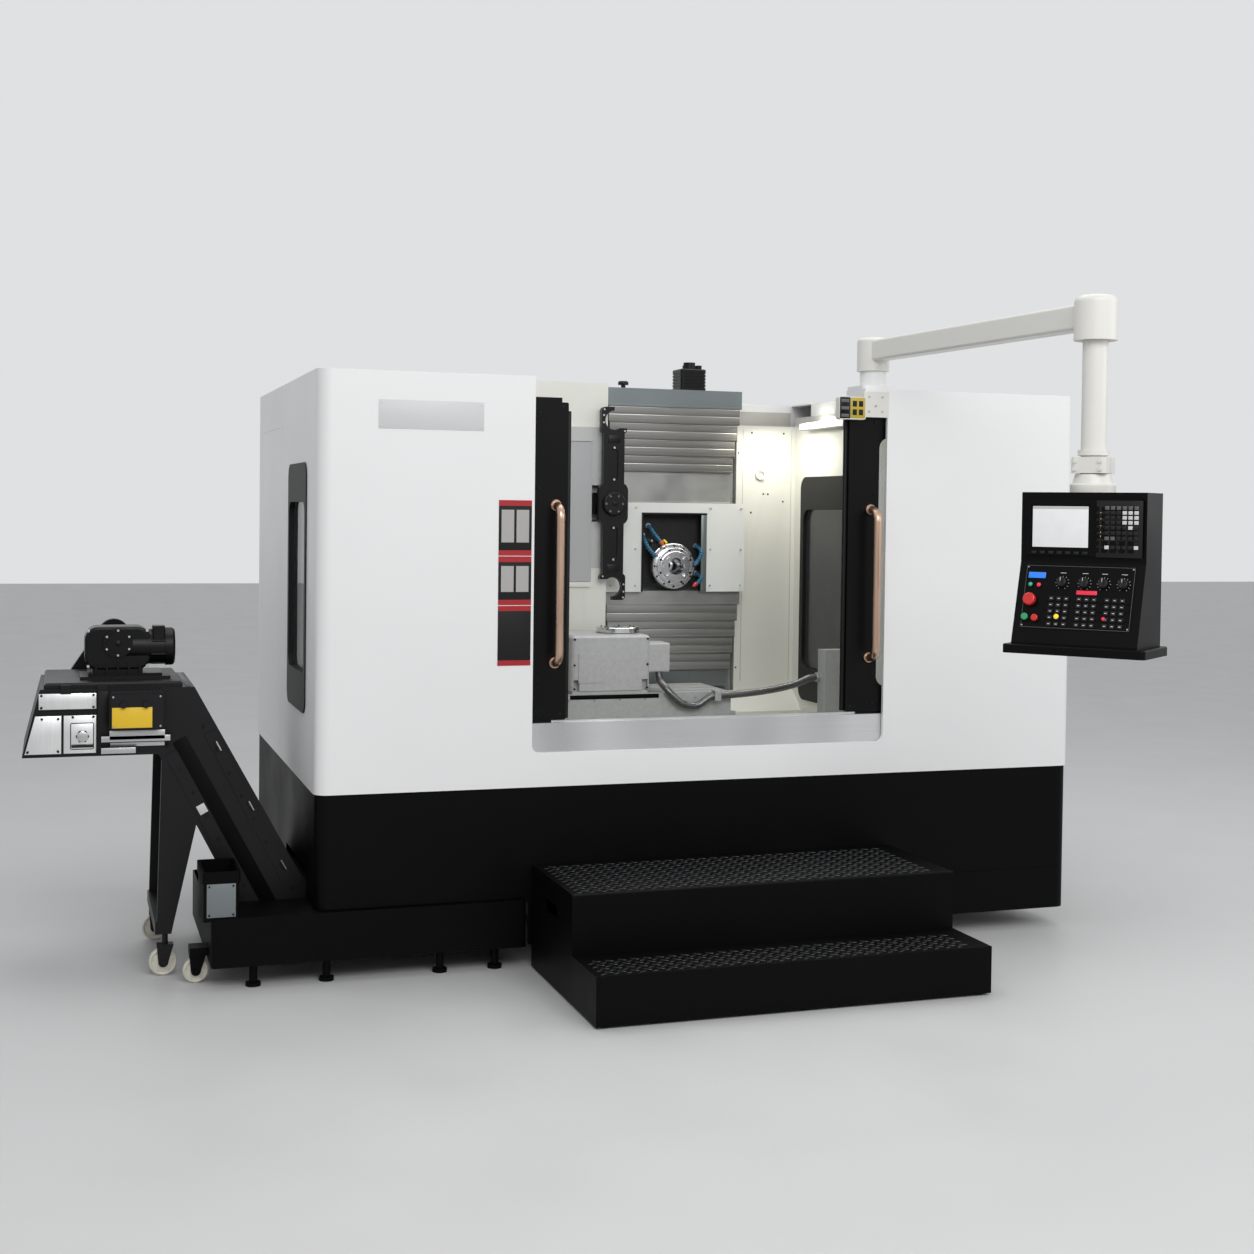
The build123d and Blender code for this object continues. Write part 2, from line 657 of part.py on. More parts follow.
def work_room():
    half = SHEET / 2
    left_x = ROOM_LEFT_X - half
    right_x = ROOM_RIGHT_X + half
    left = room_wall([
        (left_x, room_front()),
        (left_x, LINER_Y + half),
        (JAMB_X, LINER_Y + half),
        (JAMB_X, ROOM_BACK_Y),
    ])
    pot_x, pot_z = pot_place()
    left -= along_y(disc(pot_x, pot_z, POT_R + 18), LINER_Y - 5, LINER_Y + 10)
    nose = rectangle((JAMB_X - RAM_WIDTH - 24, JAMB_X + 30), (CHANGER_Z - 76, CHANGER_Z + 76))
    left -= along_y(nose, LINER_Y - 5, LINER_Y + 60)
    rail = rectangle((ROOM_LEFT_X, SHUTTER_RIGHT_X), (SHUTTER_TOP_Z + 2, SHUTTER_TOP_Z + 60))
    left += along_y(rail, LINER_Y - 11, LINER_Y + half)
    shelf = rectangle((ROOM_LEFT_X, SHUTTER_RIGHT_X), (SHUTTER_LOW_Z - 22, SHUTTER_LOW_Z - 2))
    left += along_y(shelf, LINER_Y - 11, LINER_Y + half)
    hood = room_wall([(HOOD_LEFT_X, HOOD_BACK_Y), (HOOD_LEFT_X, LINER_Y + half), (JAMB_X, LINER_Y + half),
                      (JAMB_X, ROOM_BACK_Y)])
    hood = Pos(0, 0, HOOD_TOP_Z - ROOM_TOP_Z) * hood
    hood &= block((HOOD_LEFT_X - SHEET, JAMB_X + SHEET), (LINER_Y - 1, HOOD_BACK_Y + 1),
                  (ROOM_TOP_Z - 1, HOOD_TOP_Z + 1))
    hood += block((HOOD_LEFT_X - half, JAMB_X + half), (LINER_Y, HOOD_BACK_Y),
                  (HOOD_TOP_Z - SHEET, HOOD_TOP_Z))
    left += hood
    cover_side = COLUMN_X + COVER_WIDTH / 2 + 8
    right = room_wall([
        (cover_side, COLUMN_FRONT_Y + 40),
        (cover_side, ROOM_BACK_Y + half),
        (right_x, ROOM_BACK_Y + half),
        (right_x, room_front()),
    ])
    right -= along_x(inner_window_drawing(0), ROOM_RIGHT_X - 2, ROOM_RIGHT_X + 6)
    right -= block((cover_side - SHEET, right_x - SHEET), (ROOM_BACK_Y - 1, COLUMN_FRONT_Y + 41),
                   (ROOM_BACK_TOP_Z, ROOM_TOP_Z + 1))
    right += along_y(disc(590, 1808, 24) - disc(590, 1808, 15), ROOM_BACK_Y - 10, ROOM_BACK_Y + 1)
    return left + right + chip_floor()


def chip_floor():
    """One tray of sloping sheets that leads the chips to the conveyor on the left."""
    front = room_front()
    back = ROOM_BACK_Y - 2
    left = ROOM_LEFT_X
    right = ROOM_RIGHT_X
    low = BED_TOP_Z + 16
    ledge = outline([
        (back, ROOM_LOW_Z + 70), (back, ROOM_LOW_Z + 66), (66, ROOM_LOW_Z - 14),
        (66, low + 100), (62, low + 100), (62, ROOM_LOW_Z - 12),
    ])
    tray = along_x(ledge, left, right)
    valley = outline([
        (right, ROOM_LOW_Z + 6), (right - 4, ROOM_LOW_Z + 6), (right - 4, ROOM_LOW_Z - 108),
        (450, low + 4), (410, low + 4), (410, low), (452, low), (right, ROOM_LOW_Z - 112),
    ])
    tray += along_y(valley, front, back)
    drop_x = left + 100
    slope = outline([
        (drop_x, 400), (drop_x, 396), (-560, low), (-528, low), (-528, low + 4), (-562, low + 4),
    ])
    tray += along_y(slope, front, back)
    tray += block((left, left + 4), (front, back), (300, ROOM_LOW_Z + 6))
    left_end = outline([(left, ROOM_LOW_Z), (left, 300), (drop_x, 300), (drop_x, 398),
                        (-545, low + 2), (-545, ROOM_LOW_Z)])
    right_end = outline([(right, ROOM_LOW_Z), (right, ROOM_LOW_Z - 110), (451, low + 2),
                         (431, low + 2), (431, ROOM_LOW_Z)])
    for y in (front, back - 4):
        tray += along_y(left_end, y, y + 4) + along_y(right_end, y, y + 4)
    apron = outline([
        (front, SILL_TOP_Z - 30), (front, low + 44), (BED_FRONT_Y + 20, low - 12),
        (BED_FRONT_Y + 20, low - 8), (front + 4, low + 48), (front + 4, SILL_TOP_Z - 30),
    ])
    tray += along_x(apron, left, right)
    return tray


# Door leaves

def door_frame(meeting_x, side):
    """A leaf whose meeting stile ends at meeting_x and reaches away from the middle."""
    far_x = meeting_x - side * DOOR_WIDTH
    x = (min(meeting_x, far_x), max(meeting_x, far_x))
    leaf = rectangle(x, (DOOR_LOW_Z, DOOR_TOP_Z), 6)
    inner_meeting = meeting_x - side * DOOR_STILE
    inner_far = far_x + side * DOOR_EDGE
    inner_x = (min(inner_meeting, inner_far), max(inner_meeting, inner_far))
    glass_z = (DOOR_LOW_Z + DOOR_RAIL, DOOR_TOP_Z - DOOR_RAIL)
    window = rectangle(inner_x, glass_z, DOOR_GLASS_CORNER_R)
    frame = along_y(leaf - window, DOOR_FACE_Y, DOOR_FACE_Y + DOOR_THICK)
    back = DOOR_FACE_Y + DOOR_THICK
    hollow = rectangle((x[0] + 12, x[1] - 12), (DOOR_LOW_Z + 12, DOOR_TOP_Z - 12), 4)
    rim = rectangle((inner_x[0] - 22, inner_x[1] + 22), (glass_z[0] - 22, glass_z[1] + 22),
                    DOOR_GLASS_CORNER_R)
    frame -= along_y(hollow - rim, DOOR_FACE_Y + SHEET, back + 1)
    seal_x = (meeting_x, meeting_x + side * DOOR_SEAL)
    seal = rectangle((min(seal_x), max(seal_x)), (DOOR_LOW_Z + 4, DOOR_TOP_Z - 30))
    frame += along_y(seal, DOOR_FACE_Y + 14, DOOR_FACE_Y + 24)
    middle = DOOR_FACE_Y + DOOR_THICK / 2
    frame += block((x[0] + 20, x[1] - 20), (middle - GUIDE_BLADE / 2, middle + GUIDE_BLADE / 2),
                   (DOOR_TOP_Z - 13, GUIDE_LOW_Z + 9))
    track_y = SILL_FACE_Y + SILL_DEPTH * TRACK_SHARE
    for px in (x[0] + 110, x[1] - 110):
        shoe = block((px - 60, px + 60), (track_y - 9, track_y + 9),
                     (SILL_TOP_Z + 0.6, DOOR_LOW_Z + 14))
        gap = TRACK_WIDTH / 2 + 1
        shoe -= block((px - 61, px + 61), (track_y - gap, track_y + gap),
                      (SILL_TOP_Z - 1, SILL_TOP_Z + TRACK_HEIGHT + 0.8))
        frame += shoe
    return frame


def door_glass(meeting_x, side):
    far_x = meeting_x - side * DOOR_WIDTH
    inner_meeting = meeting_x - side * (DOOR_STILE - 14)
    inner_far = far_x + side * (DOOR_EDGE - 14)
    x = (min(inner_meeting, inner_far), max(inner_meeting, inner_far))
    z = (DOOR_LOW_Z + DOOR_RAIL - 14, DOOR_TOP_Z - DOOR_RAIL + 14)
    pane = rectangle(x, z, DOOR_GLASS_CORNER_R)
    back = DOOR_FACE_Y + DOOR_THICK
    return along_y(pane, back, back + GLASS)


def door_handle(middle_x):
    """A round bar bent outwards at both ends, with a washer under each foot."""
    low = HANDLE_Z - HANDLE_LENGTH / 2 + HANDLE_R
    top = HANDLE_Z + HANDLE_LENGTH / 2 - HANDLE_R
    out = DOOR_FACE_Y - HANDLE_OUT
    line = FilletPolyline((middle_x, DOOR_FACE_Y, low), (middle_x, out, low + 12), (middle_x, out, top - 12),
                          (middle_x, DOOR_FACE_Y, top), radius=HANDLE_BEND_R)
    bar = sweep((line ^ 0) * Circle(HANDLE_R), path=line)
    bar &= block((middle_x - 50, middle_x + 50), (out - 50, DOOR_FACE_Y), (low - 50, top + 50))
    for z in (low + 1, top - 1):
        foot = along_y(disc(middle_x, z, HANDLE_FOOT_R), DOOR_FACE_Y - 7, DOOR_FACE_Y)
        bar += chamfer(foot.edges().group_by(Axis.Y)[0], 2)
    return bar


def door_interlock():
    """The guard switch in front of the right leaf, on an angle bracket at the opening's edge."""
    edge = OPENING_RIGHT_X
    front = FRONT_Y - SHEET
    right = edge - 100
    switch = block((right - 111, right), (front - 12, front + 20), (1998, 2084))
    switch = fillet(switch.edges().filter_by(Axis.Y), 8)
    bracket = block((right - 2, edge + SHEET), (front, FRONT_Y), (2009, 2106))
    hook = block((edge - SHEET, edge), (front, FRONT_Y + OPENING_RETURN - 2),
                 (2009, TOP_Z - BEARER_HEIGHT - 1))
    return switch + bracket + hook


# Column, way covers and headstock

def column():
    x = (COLUMN_X - COLUMN_WIDTH / 2, COLUMN_X + COLUMN_WIDTH / 2)
    side = outline([
        (COLUMN_FRONT_Y, BED_TOP_Z),
        (800, BED_TOP_Z),
        (800, BED_TOP_Z + 220),
        (620, 1300),
        (560, COLUMN_TOP_Z),
        (COLUMN_FRONT_Y, COLUMN_TOP_Z),
    ])
    body = along_x(side, x[0], x[1])
    for level, length in ((BED_TOP_Z + 110, 430), (1050, 300), (1480, 250)):
        pocket = rectangle((290, 290 + length), (level, level + 330), 60)
        body -= along_x(pocket, x[0] - 1, x[0] + 45)
        body -= along_x(pocket, x[1] - 45, x[1] + 1)
    for offset in (-HEAD_RAIL_X, HEAD_RAIL_X):
        half = HEAD_RAIL_WIDTH / 2
        body += block((COLUMN_X + offset - half, COLUMN_X + offset + half),
                      (COLUMN_FRONT_Y - HEAD_RAIL_DEPTH, COLUMN_FRONT_Y), (1000, COLUMN_TOP_Z - 20))
    return body


def column_covers():
    """The fixed cap over the column and the fixed channel at its foot."""
    x = (COLUMN_X - COLUMN_WIDTH / 2, COLUMN_X + COLUMN_WIDTH / 2)
    cap = folded_cover(0, CAP_LOW_Z, CAP_TOP_Z)
    cap += block(x, (COVER_FACE_Y, 560), (CAP_TOP_Z - SHEET, CAP_TOP_Z))
    cap += block(x, (300, 303), (COLUMN_TOP_Z, CAP_TOP_Z))
    cap += along_z(disc(x[0] + 95, 200, 9), CAP_TOP_Z - 1, CAP_TOP_Z + 22)
    knob_top = along_z(disc(x[0] + 95, 200, 22), CAP_TOP_Z + 20, CAP_TOP_Z + 34)
    cap += chamfer(knob_top.edges().group_by(Axis.Z)[-1], 5)
    low = folded_cover(COVER_COUNT + 1, COVERS_LOW_Z, HEAD_PLATE_LOW_Z - 236)
    return Compound(children=[cap, low])


def folded_cover(step, low, high):
    """One sheet-metal channel of the telescopic cover, open at the back."""
    front = COVER_FACE_Y + step * COVER_STEP
    half = COVER_WIDTH / 2 - step * COVER_STEP
    back = COLUMN_FRONT_Y if step in (0, COVER_COUNT + 1) else front + COVER_SIDE - step * 6
    path = Polyline((COLUMN_X - half + SHEET / 2, back), (COLUMN_X - half + SHEET / 2, front + SHEET / 2),
                    (COLUMN_X + half - SHEET / 2, front + SHEET / 2), (COLUMN_X + half - SHEET / 2, back))
    sheet = along_z(trace(path, COVER_SHEET), low, high)
    hem = block((COLUMN_X - half + 1, COLUMN_X + half - 1), (front - COVER_LIP, front + 1),
                (low, low + COVER_LIP_HEIGHT))
    sheet += fillet(hem.edges().filter_by(Axis.X).group_by(Axis.Y)[0], 1.2)
    pitch = (HEAD_PLATE_LOW_Z - COVERS_LOW_Z) / (COVER_COUNT + 1)
    if 0 < step <= COVER_COUNT:
        groove = low + pitch / 2
        sheet -= block((COLUMN_X - half - 1, COLUMN_X + half + 1), (front - 1, front + COVER_GROOVE_DEPTH),
                       (groove, groove + COVER_GROOVE))
    if step <= COVER_COUNT:
        wiper = (front + COVER_SHEET - 0.5, front + COVER_STEP - WIPER_GAP)
        inner = half - COVER_STEP - 12
        sheet += block((COLUMN_X - inner, COLUMN_X + inner), wiper, (low, low + COVER_LIP_HEIGHT))
    return sheet


def upper_cover(number):
    low = COLUMN_TOP_Z - number * HEAD_COVER_STEP_Z
    return folded_cover(number, low, low + COVER_UP_HEIGHT)


def lower_cover(number):
    travel = (HEAD_PLATE_LOW_Z - COVERS_LOW_Z) / (COVER_COUNT + 1)
    low = HEAD_PLATE_LOW_Z - number * travel
    return folded_cover(number, low, low + COVER_DOWN_HEIGHT)


def column_motor():
    """The drive of the column's screw, with its cooling ribs and cable socket."""
    x = AXIS_MOTOR_X
    y = COLUMN_FRONT_Y + 60
    half = AXIS_MOTOR_WIDTH / 2
    top = CAP_TOP_Z + AXIS_MOTOR_HEIGHT
    motor = along_z(rectangle((x - half, x + half), (y - half, y + half), 12), CAP_TOP_Z, top)
    motor = chamfer(motor.edges().group_by(Axis.Z)[-1], 4)
    rib = rectangle((x - half - 5, x + half + 5), (y - half - 5, y + half + 5))
    core = rectangle((x - half + 3, x + half - 3), (y - half + 3, y + half - 3), 10)
    for i in range(5):
        low = CAP_TOP_Z + 18 + i * 14
        motor -= along_z(rib - core, low, low + 6)
    cap = along_z(disc(x, y, 30), top - 1, top + 18)
    cap += along_z(disc(x, y, 26), top + 17, top + 31)
    plug = along_z(rectangle((x + 32, x + 54), (y - 14, y + 14), 4), top - 1, top + 20)
    return motor + cap + plug


def headstock():
    """The cast carriage on the column's rails, with the round spindle housing in front."""
    half = COVER_WIDTH / 2 - (COVER_COUNT + 1) * COVER_STEP - 12
    back = COLUMN_FRONT_Y - 6
    body = block((COLUMN_X - half, COLUMN_X + half), (COVER_FACE_Y + 45, back),
                 (HEAD_LOW_Z + 33, HEAD_TOP_Z - 20))
    body = fillet(body.edges().filter_by(Axis.Y), 24)
    for offset in (-HEAD_RAIL_X, HEAD_RAIL_X):
        gap = HEAD_RAIL_WIDTH / 2 + 0.5
        body -= block((COLUMN_X + offset - gap, COLUMN_X + offset + gap),
                      (COLUMN_FRONT_Y - HEAD_RAIL_DEPTH - 0.5, back + 1), (HEAD_LOW_Z, HEAD_TOP_Z))
    quill = along_y(disc(SPINDLE_X, SPINDLE_Z, 92), SPINDLE_FACE_Y + 44, COVER_FACE_Y + 4)
    quill += along_y(disc(SPINDLE_X, SPINDLE_Z, 76), COVER_FACE_Y + 3, COLUMN_FRONT_Y - 36)
    ring = along_y(disc(SPINDLE_X, SPINDLE_Z, 97), SPINDLE_FACE_Y + 30, SPINDLE_FACE_Y + 46)
    ring = chamfer(ring.edges().group_by(Axis.Y)[0], 4)
    cap = along_y(disc(SPINDLE_X, SPINDLE_Z, 80), SPINDLE_FACE_Y + 10, SPINDLE_FACE_Y + 31)
    cap = fillet(cap.edges().group_by(Axis.Y)[0], 4)
    lobes = along_y(disc(SPINDLE_X - 78, SPINDLE_Z + 66, 30), SPINDLE_FACE_Y + 42, SPINDLE_FACE_Y + 60)
    lobes += along_y(disc(SPINDLE_X - 46, SPINDLE_Z + 92, 24), SPINDLE_FACE_Y + 42, SPINDLE_FACE_Y + 60)
    plate = along_y(rectangle((HEAD_WINDOW_LEFT_X - 30, HEAD_WINDOW_RIGHT_X + 30),
                              (HEAD_LOW_Z + 34, HEAD_TOP_Z - 30), 10),
                    COVER_FACE_Y + 20, COVER_FACE_Y + 46)
    body += quill + ring + cap + lobes + plate
    for i in range(8):
        turn = math.radians(22.5 + 45 * i)
        x = SPINDLE_X + 72.0 * math.cos(turn)
        z = SPINDLE_Z + 72.0 * math.sin(turn)
        body -= along_y(disc(x, z, 4.5), SPINDLE_FACE_Y + 5, SPINDLE_FACE_Y + 16)
    bore = along_y(disc(SPINDLE_X, SPINDLE_Z, SPINDLE_BODY_R + RUNNING_FIT),
                   SPINDLE_FACE_Y, COLUMN_FRONT_Y)
    return body - bore


def spindle():
    mouth = TAPER_MOUTH_R
    deep = mouth - TAPER_DEPTH * TAPER_RATIO / 2
    y0 = SPINDLE_FACE_Y
    end = COLUMN_FRONT_Y - HEAD_RAIL_DEPTH - 14
    profile = outline([
        (mouth, y0),
        (SPINDLE_NOSE_R - 2, y0),
        (SPINDLE_NOSE_R, y0 + 2),
        (SPINDLE_NOSE_R, y0 + 9.5),
        (SPINDLE_BODY_R, y0 + 9.5),
        (SPINDLE_BODY_R, end),
        (DRAW_HOLE_R, end),
        (DRAW_HOLE_R, y0 + TAPER_DEPTH + 8),
        (deep, y0 + TAPER_DEPTH),
    ])
    turned = revolve(Plane.XY * profile, Axis.Y)
    for angle in (45, 135, 225, 315):
        turn = math.radians(angle)
        place = (NOSE_HOLE_CIRCLE_R * math.cos(turn), NOSE_HOLE_CIRCLE_R * math.sin(turn))
        turned -= along_y(disc(place[0], place[1], NOSE_HOLE_R), y0 - 1, y0 + 25)
    for side in (-1, 1):
        x = (side * (mouth + 2), side * (SPINDLE_NOSE_R - 5))
        key = block((min(x), max(x)), (y0 - 9, y0 + 1), (-KEY_WIDTH / 2 + 4, KEY_WIDTH / 2 - 4))
        turned += key
    return Pos(SPINDLE_X, 0, SPINDLE_Z) * turned


def head_cover():
    """White sheet panels round the spindle window, with the plates above and below."""
    x = (COLUMN_X - HEAD_WIDTH / 2, COLUMN_X + HEAD_WIDTH / 2)
    face = rectangle(x, (HEAD_LOW_Z, HEAD_TOP_Z))
    window = rectangle((HEAD_WINDOW_LEFT_X, HEAD_WINDOW_RIGHT_X), (HEAD_LOW_Z - 5, HEAD_TOP_Z - 42), 12)
    front = HEAD_FRONT_Y
    cover = along_y(face - window, front, front + SHEET)
    reveal = rectangle((HEAD_WINDOW_LEFT_X - SHEET, HEAD_WINDOW_RIGHT_X + SHEET),
                       (HEAD_LOW_Z, HEAD_TOP_Z - 42 + SHEET), 12) - window
    cover += along_y(reveal, front, COVER_FACE_Y + COVER_STEP - 1.5)
    for x0 in (x[0], x[1] - SHEET):
        cover += block((x0, x0 + SHEET), (front, COLUMN_FRONT_Y - 12), (HEAD_LOW_Z, HEAD_TOP_Z))
    cover += block(x, (front, COVER_FACE_Y + 48), (HEAD_TOP_Z - SHEET, HEAD_TOP_Z))
    ends = rectangle(x, (HEAD_LOW_Z, HEAD_LOW_Z + SHEET)) - window
    cover += along_y(ends, front, COVER_FACE_Y + SHEET)
    upper = folded_cover(COVER_COUNT + 1, HEAD_TOP_Z - SHEET, HEAD_PLATE_TOP_Z)
    upper -= block((x[0], x[1]), (COLUMN_FRONT_Y - 40, COLUMN_FRONT_Y + 5), (HEAD_TOP_Z - 5, 1900))
    lower = folded_cover(0, HEAD_PLATE_LOW_Z, HEAD_LOW_Z + SHEET)
    lower -= block((x[0], x[1]), (COVER_FACE_Y + COVER_SIDE, COLUMN_FRONT_Y + 5),
                   (HEAD_PLATE_LOW_Z - 5, HEAD_LOW_Z + 10))
    tie = (COLUMN_X - COVER_WIDTH / 2 + 40, COLUMN_X + COVER_WIDTH / 2 - 40)
    cover += block(tie, (COVER_FACE_Y + 42, COVER_FACE_Y + 45), (HEAD_TOP_Z - 28, HEAD_TOP_Z))
    cover += upper + lower
    for px in (x[0] + 14, HEAD_WINDOW_LEFT_X - 16, HEAD_WINDOW_RIGHT_X + 16, x[1] - 14):
        for pz in (HEAD_LOW_Z + 16, HEAD_TOP_Z - 16):
            cover += along_y(disc(px, pz, 5), front - 2, front + 1)
    return cover


def coolant_hose(points, radius):
    """A stiff coolant hose with its nozzle at the far end."""
    path = Spline(*points)
    hose = sweep((path ^ 0) * Circle(radius), path=path)
    nozzle = extrude(Plane(origin=path @ 1, z_dir=path % 1) * Circle(radius * 1.15), 9, both=True)
    return hose + nozzle


def coolant_lines():
    y = SPINDLE_FACE_Y
    top = SPINDLE_Z + 150
    lines = [
        [(SPINDLE_X - 100, y + 78, top + 20), (SPINDLE_X - 92, y + 40, top - 8),
         (SPINDLE_X - 62, y + 14, SPINDLE_Z + 100)],
        [(SPINDLE_X - 126, y + 78, top - 20), (SPINDLE_X - 122, y + 34, top - 58),
         (SPINDLE_X - 98, y + 6, SPINDLE_Z + 50)],
        [(SPINDLE_X + 118, y + 78, SPINDLE_Z + 86), (SPINDLE_X + 126, y + 30, SPINDLE_Z + 60),
         (SPINDLE_X + 96, y + 10, SPINDLE_Z + 14)],
        [(SPINDLE_X + 122, y + 78, SPINDLE_Z - 34), (SPINDLE_X + 128, y + 34, SPINDLE_Z - 52),
         (SPINDLE_X + 92, y + 12, SPINDLE_Z - 78)],
    ]
    hoses = []
    for points in lines:
        hose = coolant_hose(points, 9)
        start = Vector(*points[0])
        hose += along_y(disc(start.X, start.Z, 11), y + 74, COVER_FACE_Y + 20)
        hoses.append(hose)
    return Compound(children=hoses)


# Tool changer

def ram_drawing(grow):
    """The square ram that carries the arm's bearing house in and out."""
    right = JAMB_X - 19
    half = RAM_HEIGHT / 2
    return rectangle((right - RAM_WIDTH - grow, right + grow),
                     (CHANGER_Z - half - grow, CHANGER_Z + half + grow))


def changer_gearbox():
    right = JAMB_X - 6
    left = right - RAM_WIDTH - 32
    neck = along_y(rectangle((left, right), (CHANGER_Z - 70, CHANGER_Z + 70), 12), 66, 165)
    box = along_y(rectangle((-400, right), (CHANGER_Z - 115, CHANGER_Z + 120), 18), 160, 330)
    stand = block((-335, -235), (200, 320), (BED_TOP_Z, CHANGER_Z - 100))
    stand += block((-360, -210), (185, 335), (BED_TOP_Z, BED_TOP_Z + 25))
    post = block((-500, -415), (192, 262), (BED_TOP_Z, CHANGER_Z - 110))
    plate = along_y(rectangle((DRUM_X - 60, -380), (CHANGER_Z - 170, CHANGER_Z - 30), 20), 172, 192)
    axle = along_y(disc(DRUM_X, CHANGER_Z - 104, DRUM_AXLE_R), 92, 175)
    body = neck + box + stand + post + plate + axle
    return body - along_y(ram_drawing(RUNNING_FIT), 60, 310)


def changer_quill():
    """The bearing house of the arm, on the ram that draws a tool out of the spindle."""
    house = along_y(disc(CHANGER_X, CHANGER_Z, HUB_R - 2), 12, 62)
    house = chamfer(house.edges().group_by(Axis.Y)[0], 4)
    left = JAMB_X - 19 - RAM_WIDTH
    half = RAM_HEIGHT / 2
    link = along_y(rectangle((left, CHANGER_X), (CHANGER_Z - half, CHANGER_Z + half), 6), 34, 62)
    ram = along_y(ram_drawing(0), 40, 300)
    body = house + link + ram
    return body - along_y(disc(CHANGER_X, CHANGER_Z, QUILL_R + RUNNING_FIT), 0, LINER_Y + 2)


def changer_arm():
    """A double-ended arm with an open jaw at each end, drawn upright."""
    front = ARM_BACK_Y - ARM_THICK
    drawing = rectangle((-HUB_R, HUB_R), (-HUB_HEIGHT / 2, HUB_HEIGHT / 2), 34)
    drawing += rectangle((-ARM_WIDTH / 2, ARM_WIDTH / 2), (-ARM_R, ARM_R))
    reach = JAW_R + JAW_WALL
    for side in (-1, 1):
        end = side * ARM_R
        drawing += rectangle((-reach, reach), (end - reach, end + reach), 16)
    for side in (-1, 1):
        end = side * ARM_R
        drawing -= disc(0, end, JAW_R)
        x = (min(0, side * 200), max(0, side * 200))
        drawing -= rectangle(x, (end - JAW_R + 8, end + JAW_R - 8))
        tip = (end - side * JAW_R * 0.2, end + side * (reach + 1))
        drawing -= rectangle(x, (min(tip), max(tip)))
    arm = along_y(drawing, front, ARM_BACK_Y)
    hub = along_y(disc(0, 0, HUB_R - 14), front - 20, front + 1)
    hub = fillet(hub.edges().group_by(Axis.Y)[0], 6)
    arm += hub
    for side in (-1, 1):
        recess = rectangle((-18, 18), (min(side * 95, side * 225), max(side * 95, side * 225)), 12)
        arm -= along_y(recess, front - 1, front + 6)
    for i in range(6):
        turn = math.radians(60 * i)
        arm -= along_y(disc(36 * math.cos(turn), 36 * math.sin(turn), 5), front - 21, front - 12)
    arm += along_y(disc(0, 0, QUILL_R), ARM_BACK_Y - 1, LINER_Y - 2)
    return Pos(CHANGER_X, 0, CHANGER_Z) * arm


def tool_magazine():
    centre_z = CHANGER_Z - 104
    pot_x, pot_z = pot_place()
    radius = math.hypot(pot_x - DRUM_X, pot_z - centre_z)
    first = math.degrees(math.atan2(pot_z - centre_z, pot_x - DRUM_X))
    back = POT_FRONT_Y + POT_LENGTH
    drum = along_y(disc(0, 0, radius + 22), back, back + 10)
    for i in range(8):
        turn = math.radians(45 * i + 22)
        drum -= along_y(disc(0.55 * radius * math.cos(turn), 0.55 * radius * math.sin(turn), 62),
                        back - 1, back + 11)
    drum += along_y(disc(0, 0, 70), back - 45, back + 12)
    for i in range(POT_COUNT):
        turn = math.radians(first + 360 * i / POT_COUNT)
        x = radius * math.cos(turn)
        z = radius * math.sin(turn)
        pot = along_y(disc(x, z, POT_R), POT_FRONT_Y, back + 1)
        pot -= along_y(disc(x, z, POT_MOUTH_R), POT_FRONT_Y - 1, back - 20)
        drum += pot
    drum -= along_y(disc(0, 0, DRUM_AXLE_R + RUNNING_FIT), back - 60, back + 20)
    return Pos(DRUM_X, 0, centre_z) * drum


def changer_shutter():
    x = (SHUTTER_RIGHT_X - SHUTTER_WIDTH, SHUTTER_RIGHT_X)
    plate = along_y(rectangle(x, (SHUTTER_LOW_Z, SHUTTER_TOP_Z), 4), LINER_Y - 8, LINER_Y - 4)
    for x0 in (x[0], x[1] - 12):
        plate += block((x0, x0 + 12), (LINER_Y - 8, LINER_Y - 0.6), (SHUTTER_LOW_Z, SHUTTER_TOP_Z))
    for z0 in (SHUTTER_LOW_Z, SHUTTER_TOP_Z - 12):
        plate += block(x, (LINER_Y - 8, LINER_Y - 0.6), (z0, z0 + 12))
    pull = block((x[0] + 30, x[0] + 42), (LINER_Y - 12, LINER_Y - 7), (1590, 1680))
    return plate + pull


# Saddle, table and rotary table

